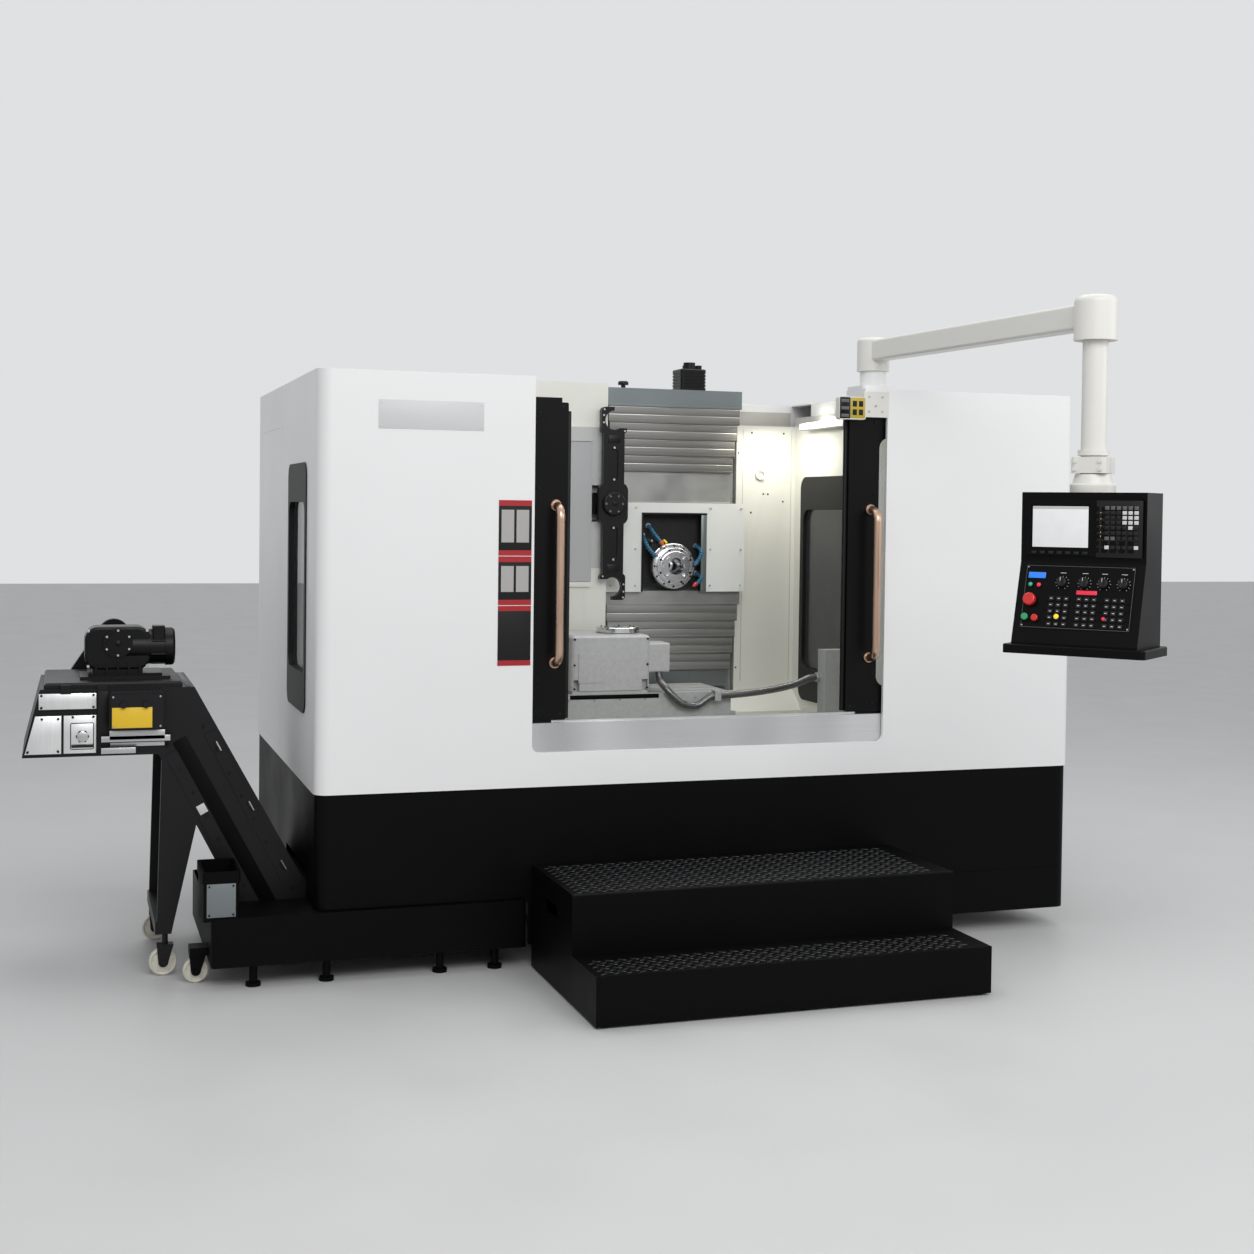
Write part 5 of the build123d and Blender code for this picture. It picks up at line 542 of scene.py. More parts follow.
def lining(name, color, band, flange):
    """Work room paint, with a grey band under the hood and a grey flange beside the column."""
    material, tree, shader, place = new_material(name)
    hood_right, hood_low, hood_top = -0.160, 1.400, 1.988
    flange_left, flange_low = 0.480, 2.0225
    x, _, z = axes(tree, place)
    slow = noise(tree, place, 3.0, 3.0)
    fine = noise(tree, place, 380.0, 2.0)
    drips = ramp(tree, noise(tree, place, 14.0, 5.0, (1, 1, 0.15)), 0.62, 0.78, 0.0, 0.22)
    paint = blend_colors(tree, slow, toned(color, 0.95), toned(color, 1.03))
    paint = blend_colors(tree, drips, paint, toned(color, 0.80))
    under_hood = sums(tree, "MULTIPLY", sums(tree, "LESS_THAN", x, hood_right),
                      inside(tree, z, hood_low, hood_top))
    beside = sums(tree, "MULTIPLY", sums(tree, "GREATER_THAN", x, flange_left),
                  sums(tree, "GREATER_THAN", z, flange_low))
    paint = blend_colors(tree, under_hood, paint, band)
    paint = blend_colors(tree, beside, paint, flange)
    tree.links.new(paint, shader.inputs["Base Color"])
    tree.links.new(ramp(tree, slow, *NOISE, 0.32, 0.44), shader.inputs["Roughness"])
    bump(tree, shader, fine, 0.3, 0.0004)
    return material


def clear_pane(name, tint, strength):
    """Safety glass: mostly clear, with a reflection that grows at flat angles."""
    material, tree, shader, place = new_material(name)
    shader.inputs["Base Color"].default_value = (*tint, 1)
    shader.inputs["Roughness"].default_value = 0.04
    haze = noise(tree, place, 1.6)
    tree.links.new(ramp(tree, haze, *NOISE, strength * 0.85, strength * 1.15), shader.inputs["Alpha"])
    shader.inputs["Coat Weight"].default_value = 0.6
    shader.inputs["Coat Roughness"].default_value = 0.02
    return material


def rubbery(name):
    """Black rubber with a fine matt grain."""
    material, tree, shader, place = new_material(name)
    color = (0.006, 0.006, 0.0065)
    fine = noise(tree, place, 150.0, 3.0)
    tree.links.new(blend_colors(tree, fine, color, toned(color, 1.8)), shader.inputs["Base Color"])
    shader.inputs["Roughness"].default_value = 0.55
    shader.inputs["Specular IOR Level"].default_value = 0.3
    bump(tree, shader, fine, 0.3, 0.0005)
    return material


def glowing(name, color, strength):
    """A lit screen or lamp cover; the amber one also gives the emergency stop's guard a painted glow."""
    material, tree, shader, place = new_material(name)
    slow = noise(tree, place, 25.0)
    tree.links.new(blend_colors(tree, slow, color, toned(color, 0.85)), shader.inputs["Base Color"])
    tree.links.new(blend_colors(tree, slow, color, toned(color, 0.95)), shader.inputs["Emission Color"])
    shader.inputs["Emission Strength"].default_value = strength
    shader.inputs["Roughness"].default_value = 0.25
    return material


paints = {}


def make_paints():
    """All materials, by the name of what they are."""
    own = settings()
    white, black = tuple(own.sheet_color), tuple(own.skirt_color)
    room, shell = tuple(own.liner_color), tuple(own.pendant_color)
    paints.update({
        # Coats and paints
        "white": painted("white_powder_coat", white, 0.36, shift=0.02),
        "liner": lining("liner_paint", room, (0.52, 0.53, 0.52), (0.56, 0.56, 0.53)),
        "cream": painted("cream_paint", (0.72, 0.71, 0.67), 0.35, shift=0.05),
        "flange": painted("flange_paint", (0.50, 0.485, 0.445), 0.40, shift=0.05),
        "black": painted("black_powder_coat", black, 0.46, shift=0.25, gloss=0.07),
        "satin_black": painted("satin_black", black, 0.34, shift=0.25, gloss=0.22),
        "casing": painted("conveyor_paint", toned(black, 3.8), 0.40, shift=0.3, gloss=0.20),
        "leaf": painted("door_leaf", black, 0.30, shift=0.2, gloss=0.15),
        "tread": painted("tread_steel", (0.030, 0.031, 0.033), 0.34, metal=0.55, shift=0.3, grain=160),
        "oxide": painted("black_oxide", (0.010, 0.010, 0.011), 0.36, metal=0.4, shift=0.3, gloss=0.35),
        "pendant": painted("pendant_shell", shell, 0.36, shift=0.2, gloss=0.10),
        "panel": painted("operator_plate", (0.012, 0.012, 0.013), 0.5, shift=0.2, gloss=0.2),
        # Keys, plates, caps and hoses
        "key": painted("key_cap", (0.62, 0.62, 0.61), 0.5, grain=900),
        "grey_key": painted("grey_key_cap", (0.10, 0.10, 0.10), 0.5, grain=900),
        "dark_key": painted("dark_key_cap", (0.010, 0.010, 0.011), 0.45, grain=900, gloss=0.3),
        "legend": painted("pale_legend", (0.62, 0.62, 0.60), 0.5, grain=900),
        "grey": painted("grey_paint", (0.45, 0.455, 0.46), 0.42),
        "light_grey": painted("light_grey_paint", (0.56, 0.565, 0.56), 0.40),
        "name_plate": painted("plate_paint", (0.62, 0.625, 0.63), 0.45, shift=0.04),
        "yellow": painted("yellow_plate", tuple(own.plate_color), 0.38, shift=0.08),
        "switch_yellow": painted("switch_face", (0.50, 0.36, 0.03), 0.42, shift=0.1),
        "picture_grey": painted("field_grey", (0.40, 0.39, 0.38), 0.5, grain=900),
        "red": painted("red_cap", (0.60, 0.012, 0.012), 0.25, shift=0.1, coat=0.4),
        "sign_red": painted("red_field", (0.38, 0.008, 0.014), 0.4, shift=0.1),
        "green": painted("green_cap", (0.02, 0.32, 0.12), 0.25, coat=0.4),
        "blue": painted("blue_hose", tuple(own.coolant_color), 0.35, shift=0.25),
        "orange": painted("orange_nozzle", (0.72, 0.13, 0.02), 0.35, shift=0.1),
        "nylon": painted("nylon_wheel", (0.66, 0.63, 0.54), 0.42, shift=0.08),
        # Castings and bare metal
        "casting": cast("grey_casting", (0.30, 0.31, 0.31)),
        "table": cast("table_casting", (0.46, 0.47, 0.465), 0.40),
        "body": cast("rotary_paint", (0.50, 0.505, 0.505), 0.42),
        "cap": painted("cap_steel", (0.20, 0.225, 0.23), 0.34, metal=0.55, shift=0.2, grain=120),
        "steel": brushed("brushed_steel", (0.80, 0.80, 0.81), 0.30, (0.02, 1, 1), reflection_bands=0.35),
        "sill_steel": brushed("sill_steel", (0.80, 0.80, 0.81), 0.32, (0.004, 1, 1), scale=420.0,
                              depth=0.0001, reflection_bands=0.35),
        "bright": brushed("painted_highlight_strip", (0.56, 0.56, 0.54), 0.34, (0.02, 1, 1)),
        "upper_slat": slatted("upper_cover_steel", 1.8090, 0.0345, (0.30, 0.295, 0.28)),
        "lower_slat": slatted("lower_cover_steel", 0.9562, 0.0356, (0.46, 0.455, 0.435)),
        "head_sheet": head_sheets("head_sheets", (0.80, 0.81, 0.78), (0.42, 0.42, 0.41)),
        # The second colour of the housing is painted shade of the recess behind the spindle nose.
        "housing": spindle_housing("spindle_housing", (0.80, 0.80, 0.81), (0.020, 0.020, 0.021)),
        "upright_steel": brushed("upright_steel", (0.90, 0.90, 0.90), 0.34, (1, 1, 0.04)),
        "turned": brushed("turned_steel", (0.82, 0.82, 0.83), 0.22, (1, 0.05, 1)),
        "bronze": brushed("bronze", tuple(own.handle_color), 0.30, (1, 1, 0.03)),
        "hose": brushed("armoured_hose_steel", (0.24, 0.24, 0.245), 0.30, (1, 1, 1), scale=400.0),
        "bolt": brushed("bolt_steel", (0.60, 0.60, 0.61), 0.32, (1, 1, 1)),
        # Rubber, glass and lights
        "rubber": rubbery("black_rubber"),
        "pane": clear_pane("door_pane", (0.55, 0.60, 0.61), 0.16),
        "smoked": clear_pane("side_pane", (0.05, 0.055, 0.06), 0.50),
        "screen": glowing("lit_screen", (0.45, 0.455, 0.46), 0.85),
        "lamp": glowing("lamp_cover", (0.95, 0.93, 0.84), 0.9),
        "blue_light": glowing("blue_readout", (0.02, 0.16, 0.62), 0.6),
        "red_light": glowing("red_readout", (0.62, 0.02, 0.05), 0.5),
        "green_light": glowing("green_lamp", (0.03, 0.36, 0.20), 0.3),
        "amber_glow": glowing("amber_lamps_and_painted_glow", (0.85, 0.62, 0.03), 0.4),
    })


class MACHINE_OT_finishes(bpy.types.Operator):
    """Makes the materials and gives each part of the frame its own"""
    bl_idname = "machine.finishes"
    bl_label = "Finishes"

    def execute(self, context):
        make_paints()
        finishes = {
            "white": ["front_fascia", "rear_shell"],
            "liner": ["work_room_liner"],
            "cream": ["door_interlock", "pendant_arm", "pendant_mast"],
            "black": ["skirt", "step_platform", "coolant_tank"],
            "satin_black": ["column_motor", "gearmotor"],
            "casing": ["conveyor_casing"],
            "leaf": ["left_door", "right_door"],
            "pane": ["left_door_glass", "right_door_glass"],
            "smoked": ["side_windows"],
            "rubber": ["window_gaskets"],
            "bronze": ["left_handle", "right_handle"],
            "sill_steel": ["sill"],
            "steel": ["conveyor_belt"],
            "bolt": ["drive_shaft"],
            "turned": ["spindle", "faceplate"],
            "housing": ["headstock"],
            "head_sheet": ["head_cover"],
            "cap": ["column_covers"],
            "casting": ["bed", "column"],
            "table": ["saddle", "table"],
            "body": ["rotary_body"],
            "hose": ["table_hose"],
            "blue": ["coolant_lines"],
            "oxide": ["changer_quill", "changer_arm"],
            "grey": ["changer_gearbox", "tool_magazine", "changer_shutter"],
            "pendant": ["pendant_case", "display_unit"],
            "red": ["emergency_stop", "stop_button"],
            "green": ["start_button"],
            "nylon": ["conveyor_wheel_front", "conveyor_wheel_back", "tank_wheel"],
            "dark_key": [f"knob_{number}" for number in range(1, 5)],
            "upper_slat": [f"upper_cover_{number}" for number in range(1, 5)],
            "lower_slat": [f"lower_cover_{number}" for number in range(1, 5)],
        }
        for finish, nodes in finishes.items():
            for node in nodes:
                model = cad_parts[node]
                model.data.materials.clear()
                coated(model, finish)
                start()
                model.select_set(True)
                context.view_layer.objects.active = model
                bpy.ops.object.shade_smooth_by_angle(angle=math.radians(28))
        return {"FINISHED"}


# Pieces

class MACHINE_OT_treads(bpy.types.Operator):
    """Raised lozenges of the chequer plate on both treads"""
    bl_idname = "machine.treads"
    bl_label = "Treads"

    def execute(self, context):
        low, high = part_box("step_platform")
        pitch, rise = settings().tread_pitch, settings().tread_rise
        half_length, half_width = 0.0170, 0.0058
        side_rim, front_rim = 0.035, 0.030
        bare_width, bare_depth = 0.06, 0.05
        columns = int((high.x - low.x - bare_width) / pitch)
        made = []
        for back, front, top in ((-0.898, -1.399, 0.370), (-1.403, -1.670, 0.168)):
            rows = int((back - front - bare_depth) / pitch)
            for turn, shift in ((35, 0.0), (-35, pitch / 2)):
                lozenge = lathe((0, 0, 0), UP, ((1, -0.5), (0.86, 0.75), (0.55, 1.0)), "tread", 8)
                place = Matrix.Translation((low.x + side_rim + shift, front + front_rim + shift * 0.9, top))
                laid(lozenge, place @ Matrix.Rotation(math.radians(turn), 4, "Z")
                     @ Matrix.Diagonal((half_length, half_width, rise, 1)))
                repeat(lozenge, columns, (pitch, 0, 0))
                repeat(lozenge, rows, (0, pitch, 0))
                made.append(lozenge)
        mount("tread_lozenges", made, "base")
        return {"FINISHED"}


class MACHINE_OT_table_hose(bpy.types.Operator):
    """The ridged metal hose from the rotary table to the box beside the table"""
    bl_idname = "machine.table_hose"
    bl_label = "Table hose"

    def execute(self, context):
        y = -0.387
        points = [(-0.047, -0.320, 0.997), (-0.047, -0.322, 0.968), (-0.042, -0.365, 0.945),
                  (-0.020, y, 0.916), (0.020, y, 0.876), (0.060, y, 0.863), (0.100, y, 0.863),
                  (0.135, y, 0.889), (0.162, y, 0.903), (0.228, y, 0.903), (0.380, y, 0.914),
                  (0.520, y, 0.938), (0.577, y, 0.964), (0.600, y, 0.968), (0.628, y, 0.968)]
        pitch = settings().hose_pitch
        crest, valley = 0.0148, 0.0128
        rings = ((valley, 0.0), (valley, pitch * 0.12), (crest, pitch * 0.38), (crest, pitch * 0.66),
                 (valley, pitch * 0.92), (valley, pitch))
        hose = join("ridged_hose", [strung(points, rings, pitch, "hose")])
        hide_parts("table_hose")
        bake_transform(hose)
        clip_z, box_z = 0.903, 0.968
        clamps = [collar((x, y, clip_z), RIGHT, 0.0182, 0.0135, 0.006, "bolt") for x in (0.163, 0.187)]
        clamps.append(hex_head((0.178, y - 0.018, clip_z + 0.012), FRONT, 0.0052, 0.0045))
        mount("hose_clamp", clamps, "table_slide")
        gland = [hex_head((0.627, y, box_z), LEFT, 0.0215, 0.014),
                 collar((0.615, y, box_z), LEFT, 0.0185, 0.0135, 0.010, "bolt")]
        mount("hose_gland", gland, "cross_slide")
        return {"FINISHED"}


class MACHINE_OT_coolant(bpy.types.Operator):
    """Jointed coolant hoses beside the spindle, with their nozzles and seats"""
    bl_idname = "machine.coolant"
    bl_label = "Coolant hoses"

    def execute(self, context):
        length = settings().link_length
        rings = ((0.0060, 0.0), (0.0088, length * 0.10), (0.0094, length * 0.35), (0.0088, length * 0.62),
                 (0.0060, length * 0.72), (0.0060, length))
        runs = (((0.050, 0.112, 1.578), (0.052, 0.090, 1.572), (0.056, 0.070, 1.554), (0.070, 0.055, 1.532),
                 (0.088, 0.044, 1.508)),
                ((0.024, 0.112, 1.538), (0.024, 0.084, 1.524), (0.025, 0.060, 1.502), (0.036, 0.046, 1.476),
                 (0.052, 0.036, 1.458)),
                ((0.268, 0.112, 1.494), (0.273, 0.084, 1.488), (0.277, 0.060, 1.470), (0.264, 0.047, 1.442),
                 (0.246, 0.040, 1.422)),
                ((0.272, 0.112, 1.374), (0.276, 0.086, 1.370), (0.279, 0.063, 1.358), (0.264, 0.050, 1.342),
                 (0.242, 0.042, 1.330)))
        hoses = join("jointed_hoses", [strung(points, rings, length, "blue", 14) for points in runs])
        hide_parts("coolant_lines")
        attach(hoses, "head")
        nozzle = ((0.0070, 0.0), (0.0100, 0.002), (0.0100, 0.007), (0.0060, 0.016), (0.0042, 0.022),
                  (0.0030, 0.022), (0.0028, 0.018))
        made = []
        for points, paint in zip(runs, ("orange", "blue", "blue", "red")):
            way = (Vector(points[-1]) - Vector(points[-2])).normalized()
            made.append(lathe(Vector(points[-1]) - way * 0.006, way, nozzle, paint, 18))
        seat_y = 0.119
        made += [hex_head((points[0][0], seat_y, points[0][2]), FRONT, 0.0145, 0.011) for points in runs]
        mount("coolant_nozzles", made, "head")
        return {"FINISHED"}


class MACHINE_OT_spindle_face(bpy.types.Operator):
    """Rings and screws of the spindle nose, and the frame of the window round it"""
    bl_idname = "machine.spindle_face"
    bl_label = "Spindle face"

    def execute(self, context):
        x, z = SPINDLE_X, SPINDLE_Z
        nose, ring, shield = 0.0405, 0.0605, 0.066
        made = [collar((x, nose, z), FRONT, 0.0795, 0.0668, 0.0016, "turned"),
                collar((x, ring, z), FRONT, 0.0925, 0.0812, 0.0016, "turned")]
        made += screws(around(x, z, 0.072, 8, 22.5), nose - 0.0007, 0.0050)
        made += screws(around(x, z, 0.087, 12), ring - 0.0013, 0.0042)
        for shift in (-0.046, 0.0):
            place = (x - 0.060 + shift, shield, z + 0.090 - shift * 0.4)
            made.append(pin(place, (0.5, -1, -0.2), 0.0055, 0.030, "bolt"))
        made.append(pin((x - 0.038, 0.064, z + 0.105), (0.2, -1, -0.5), 0.0045, 0.026, "amber_glow"))
        made.append(dome((x + 0.014, shield, z - 0.0895), FRONT, 0.0060, 0.005, "red"))
        mount("spindle_screws", made, "head")
        left, right, low, top, back = 0.007, 0.303, WINDOW_LOW, 1.6350, 0.098
        bars = [block((left, shield, low), (left + 0.007, back, top), "oxide", 0.0012),
                block((right - 0.026, 0.0665, low), (right - 0.0005, 0.0730, top), "cap", 0.0015),
                block((right - 0.0265, 0.0730, low), (right - 0.0235, back, top), "oxide", 0.0008),
                block((left, shield, top - 0.009), (right, back, top), "oxide", 0.0012)]
        bars += screws(grid((-0.130, -0.020, 0.320, 0.460), (1.325, 1.480, 1.655)), 0.0700, 0.0040, "bolt")
        mount("head_panel_frame", bars, "head")
        return {"FINISHED"}


class MACHINE_OT_cover_edges(bpy.types.Operator):
    """Pale steel strips along the edges of the way cover slats, painted highlights"""
    bl_idname = "machine.cover_edges"
    bl_label = "Way cover edges"

    def execute(self, context):
        for side, shown in (("upper", 0.0690), ("lower", 0.0712)):
            for number in range(1, 5):
                cover = f"{side}_cover_{number}"
                low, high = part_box(cover)
                left, right, face = low.x + 0.002, high.x - 0.002, low.y + 0.002
                # Painted highlight: the strips are paler steel than the slats and stand for light caught
                # along each slat's edge.
                strips = [block((left, face - 0.0008, top - 0.0034), (right, face + 0.0005, top), "bright",
                                0.0004)
                          for top in (low.z + 0.0350, low.z + shown - 0.0012)]
                mount(f"{side}_cover_edge_{number}", strips, f"{side}_cover_slide_{number}")
        return {"FINISHED"}


class MACHINE_OT_changer_details(bpy.types.Operator):
    """Screws and wear plates of the tool changer's arm, and the cap of its hub"""
    bl_idname = "machine.changer_details"
    bl_label = "Tool changer details"

    def execute(self, context):
        x, z = -0.150, 1.670
        arm_face, hub_face, cap_face = -0.0252, -0.0345, -0.0448
        made = screws(around(x, z, 0.036, 6), hub_face, 0.0046, "bolt")
        made.append(collar((x, cap_face, z), FRONT, 0.0200, 0.0120, 0.0012, "bolt"))
        made.append(dome((x, cap_face, z), FRONT, 0.0100, 0.0035, "oxide"))
        for side in (-1, 1):
            gripper = z + side * 0.346
            corners = ((-0.045, 0.044), (0.045, -0.044), (-side * 0.047, -side * 0.010),
                       (-side * 0.047, side * 0.020))
            made += screws([(x + px, gripper + pz) for px, pz in corners], arm_face, 0.0040, "bolt")
            made += screws([(x, z + side * shift) for shift in (0.100, 0.232)], arm_face, 0.0050, "bolt")
            low, high = sorted((z + side * 0.252, z + side * 0.284))
            made.append(block((x - 0.026, -0.0275, low), (x + 0.026, -0.0245, high), "oxide", 0.0010))
        mount("arm_screws", made, "changer_swing")
        return {"FINISHED"}


class MACHINE_OT_room_details(bpy.types.Operator):
    """Lamp, roof flange, port, screws and seams of the work room, and the knob on the column's cap"""
    bl_idname = "machine.room_details"
    bl_label = "Work room details"

    def execute(self, context):
        made = [block((0.706, -0.420, 1.9980), (0.7575, 0.020, 2.0280), "grey", 0.006),
                block((0.703, -0.410, 2.0010), (0.7075, 0.010, 2.0250), "lamp", 0.001),
                block((0.4900, ROOF_FLANGE_Y - 0.0012, 2.0215), (0.7560, ROOF_FLANGE_Y + 0.0006, 2.0850),
                      "flange"),
                collar((0.590, 0.1605, 1.808), FRONT, 0.0235, 0.0155, 0.0020, "bolt")]
        places = ((0.606, 1.722), (0.628, 1.722), (0.548, 1.990), (0.548, 1.640), (0.700, 1.690),
                  (0.700, 1.990))
        made += domes(places, ROOM_BACK, 0.0042, 0.0022)
        made += domes(grid((0.486,), (0.960, 1.190, 1.430, 1.660, 1.900)), ROOM_BACK, 0.0038, 0.0020)
        for x in (0.506, 0.736):
            seam = ((x, ROOM_BACK - 0.0012, 0.900), (x + 0.0035, ROOM_BACK + 0.0005, 2.004))
            made.append(block(*seam, "light_grey", 0.0004))
        mount("work_room_fittings", made, "base")
        knob = ((0.0096, 0.0), (0.0096, 0.0190), (0.0226, 0.0190), (0.0228, 0.0295), (0.0178, 0.0350),
                (0.0, 0.0352))
        mount("cap_knob", [lathe((-0.0400, 0.2000, 2.1620), UP, knob, "oxide", 28)], "base")
        return {"FINISHED"}


class MACHINE_OT_table_details(bpy.types.Operator):
    """Screws of the rotary table, a black strip of painted shadow under its body, rings and screws of its
    faceplate
    """
    bl_idname = "machine.table_details"
    bl_label = "Table details"

    def execute(self, context):
        body = screws(grid((-0.408, -0.104), (0.936, 1.030, 1.132)), -0.3448, 0.0042)
        mount("rotary_screws", body, "table_slide")
        # Painted shadow: the black strip stands for the shadow in the gap between the rotary body and the
        # table.
        gap_shadow = [block((-0.430, -0.3630, 0.8960), (-0.060, -0.3615, 0.9130), "black", 0.0004)]
        mount("rotary_gap_shadow", gap_shadow, "table_slide")
        x, y, top = -0.180, -0.188, 1.1703
        face = [collar((x, y, top), UP, radius, radius - 0.0016, 0.0008, "oxide", 64)
                for radius in (0.074, 0.056)]
        face += [socket_screw((px, py, top - SUNK), UP, 0.0036, "oxide")
                 for px, py in around(x, y, 0.066, 8, 22.5)]
        mount("faceplate_screws", face, "rotary_face")
        return {"FINISHED"}


class MACHINE_OT_pendant_face(bpy.types.Operator):
    """Screen, keys, lamps and plain colour fields of the operator pendant"""
    bl_idname = "machine.pendant_face"
    bl_label = "Pendant face"

    def execute(self, context):
        front = -0.0970
        place = pendant_matrix()
        made = [laid(block((-0.1575, -0.0952, 1.5455), (0.0195, -0.0942, 1.6725), "screen", 0.0004), place),
                laid(block((-0.1570, -0.0958, 1.6640), (0.0190, -0.0950, 1.6722), "light_grey", 0.0003),
                     place)]

        def tile(x, z, width, height, paint, low=0.0005, high=0.0042):
            near = (x - width / 2, front - high, z - height / 2)
            far = (x + width / 2, front - low, z + height / 2)
            made.append(laid(block(near, far, paint, 0.0007), place))

        for i in range(7):
            tile(-0.150 + i * 0.027, 1.529, 0.0165, 0.0085, "dark_key")
        tile(0.1165, 1.6040, 0.1420, 0.1740, "panel", -0.0003, 0.0008)
        pale = {(4, 4), (7, 0), (7, 5)} | set(grid((1, 2, 3), (3, 4, 5)))
        grey = {(6, 0), (6, 1)} | set(grid((0,), range(6)))
        for row, z in enumerate((1.6687, 1.6540, 1.6390, 1.6240, 1.6085, 1.5920, 1.5755, 1.5480)):
            for column in range(6):
                key = (row, column)
                paint = "key" if key in pale else "grey_key" if key in grey else "dark_key"
                tile(0.0790 + column * 0.018, z, 0.0130, 0.0110, paint)
        for z in (1.654, 1.635, 1.614, 1.594, 1.582):
            tile(0.0590, z, 0.0024, 0.0024, "amber_glow", -0.0001, 0.0012)
        mount("screen_and_keys", made, "pendant")

        desk = []

        def on_desk(x, z, width, height, low, high, paint, soft=0.0007):
            piece = block((-width / 2, -height / 2, low), (width / 2, height / 2, high), paint, soft)
            desk.append(laid(piece, slant_matrix(x, z)))

        on_desk(-0.137, 1.456, 0.055, 0.019, 0.0035, 0.0050, "blue_light")
        on_desk(0.025, 1.407, 0.064, 0.013, 0.0010, 0.0030, "red_light")
        for x, z in grid((-0.083, -0.0595, -0.036, 0.004, 0.0275, 0.051, 0.091, 0.1145, 0.138),
                         (1.3860, 1.3665, 1.3470, 1.3275, 1.3080)):
            on_desk(x, z, 0.0150, 0.0125, 0.0040, 0.0056, "dark_key")
            on_desk(x, z, 0.0064, 0.0022, 0.0054, 0.0058, "legend", 0.0)
        lamps = ((-0.155, 1.427, 0.0070, "green_light"), (-0.128, 1.426, 0.0070, "red_light"),
                 (-0.061, 1.331, 0.0085, "amber_glow"), (0.086, 1.330, 0.0060, "red_light"))
        for x, z, radius, paint in lamps:
            desk.append(laid(dome((0, 0, 0.0055), UP, radius, radius * 0.55, paint), slant_matrix(x, z)))
        for x in DIALS:
            for i in range(11):
                tick = block((-0.0005, 0.0180, 0.0014), (0.0005, 0.0218, 0.0020), "legend")
                spin = Matrix.Rotation(math.radians(-150 + i * 30), 4, "Z")
                desk.append(laid(tick, slant_matrix(x, DIALS_Z) @ spin))
            on_desk(x, 1.4655, 0.018, 0.0018, 0.0012, 0.0018, "legend", 0.0)
        # Painted glow: the yellow guard round the emergency stop is no lamp but takes the lit amber paint.
        guard = collar((0, 0, 0.0014), UP, 0.0300, 0.0185, 0.0060, "amber_glow")
        desk.append(laid(guard, slant_matrix(-0.147, 1.379)))
        for z in (1.4860, 1.2968):
            on_desk(-0.003, z, 0.338, 0.0011, 0.0012, 0.0019, "grey_key", 0.0)
        for x in (-0.1725, 0.1665):
            on_desk(x, 1.3914, 0.0011, 0.1970, 0.0012, 0.0019, "grey_key", 0.0)
        for x, z in grid((-0.168, 0.162), (1.481, 1.302)):
            desk.append(laid(socket_screw((0, 0, 0.0014), UP, 0.0026, "bolt"), slant_matrix(x, z)))
        mount("desk_keys_and_lamps", desk, "pendant")

        for number, x in enumerate(DIALS, 1):
            stripe = block((-0.0008, 0.002, 0.0243), (0.0008, 0.013, 0.0250), "legend")
            laid(stripe, slant_matrix(x, DIALS_Z))
            mount(f"knob_mark_{number}", [stripe], f"dial_{number}")
        return {"FINISHED"}


class MACHINE_OT_conveyor_details(bpy.types.Operator):
    """Steel plates, straps, screws and the bare yellow plate on the chip conveyor's head"""
    bl_idname = "machine.conveyor_details"
    bl_label = "Conveyor head"

    def execute(self, context):
        front = CONVEYOR_FRONT
        face, cover, plate = front - 0.005, front - 0.0265, front - 0.092
        made = []

        def cladding(x, z, y, paint="upright_steel", inset=0.004):
            low = (x[0] + inset, y - 0.0012, z[0] + inset)
            high = (x[1] - inset, y + 0.0006, z[1] - inset)
            made.append(block(low, high, paint, 0.0006))

        cladding((-2.404, -2.209), (0.936, 0.998), face)
        cladding((-2.323, -2.209), (0.784, 0.922), front - 0.003)
        cladding((-2.298, -2.220), (0.801, 0.893), front - 0.008, inset=0.003)
        corner = block((-2.445, face - 0.0012, 0.788), (-2.327, face + 0.0006, 0.918), "upright_steel")
        for vertex in corner.data.vertices:
            if vertex.co.x < -2.40 and vertex.co.z > 0.90:
                vertex.co.x += 0.034
        made.append(soften(corner, 0.0006))
        cladding((-2.209, -2.172), (0.780, 1.002), front - 0.014, "casing", 0.002)
        cladding((-2.172, -1.984), (0.831, 0.867), cover, "steel", 0.002)
        cladding((-2.169, -1.984), (0.805, 0.831), face, "steel", 0.002)
        cladding((-2.200, -1.965), (0.823, 0.849), cover, "steel", 0.003)
        cladding((-2.200, -2.080), (0.783, 0.809), cover, "steel", 0.003)
        hub_x, hub_z = -2.258, 0.847
        made.append(hex_head((hub_x, front - 0.0215, hub_z), FRONT, 0.0205, 0.0050))
        made.append(collar((hub_x, front - 0.0095, hub_z), FRONT, 0.0250, 0.0120, 0.0020, "bolt"))
        made.append(block((-2.164, plate - 0.0008, 0.881), (-2.032, plate + 0.0005, 0.951), "yellow", 0.0005))
        for x in (-2.127, -2.052):
            made.append(collar((x, plate, 0.960), FRONT, 0.0170, 0.0100, 0.0030, "bolt"))
        places = ((-2.392, 0.988), (-2.392, 0.946), (-2.222, 0.988), (-2.222, 0.946), (-2.436, 0.796),
                  (-2.337, 0.796), (-2.337, 0.908), (-2.390, 0.908), (-2.290, 0.913), (-2.222, 0.913))
        made += screws(places, face - 0.0010, 0.0042)
        made += screws(grid((-2.160, -2.005), (0.987, 0.886)), plate + 0.0002, 0.0035, "bolt")
        made.append(pin((hub_x, front - 0.0105, 0.813), RIGHT, 0.0042, 0.070, "bolt"))
        mount("conveyor_head_fittings", made, "base")
        return {"FINISHED"}


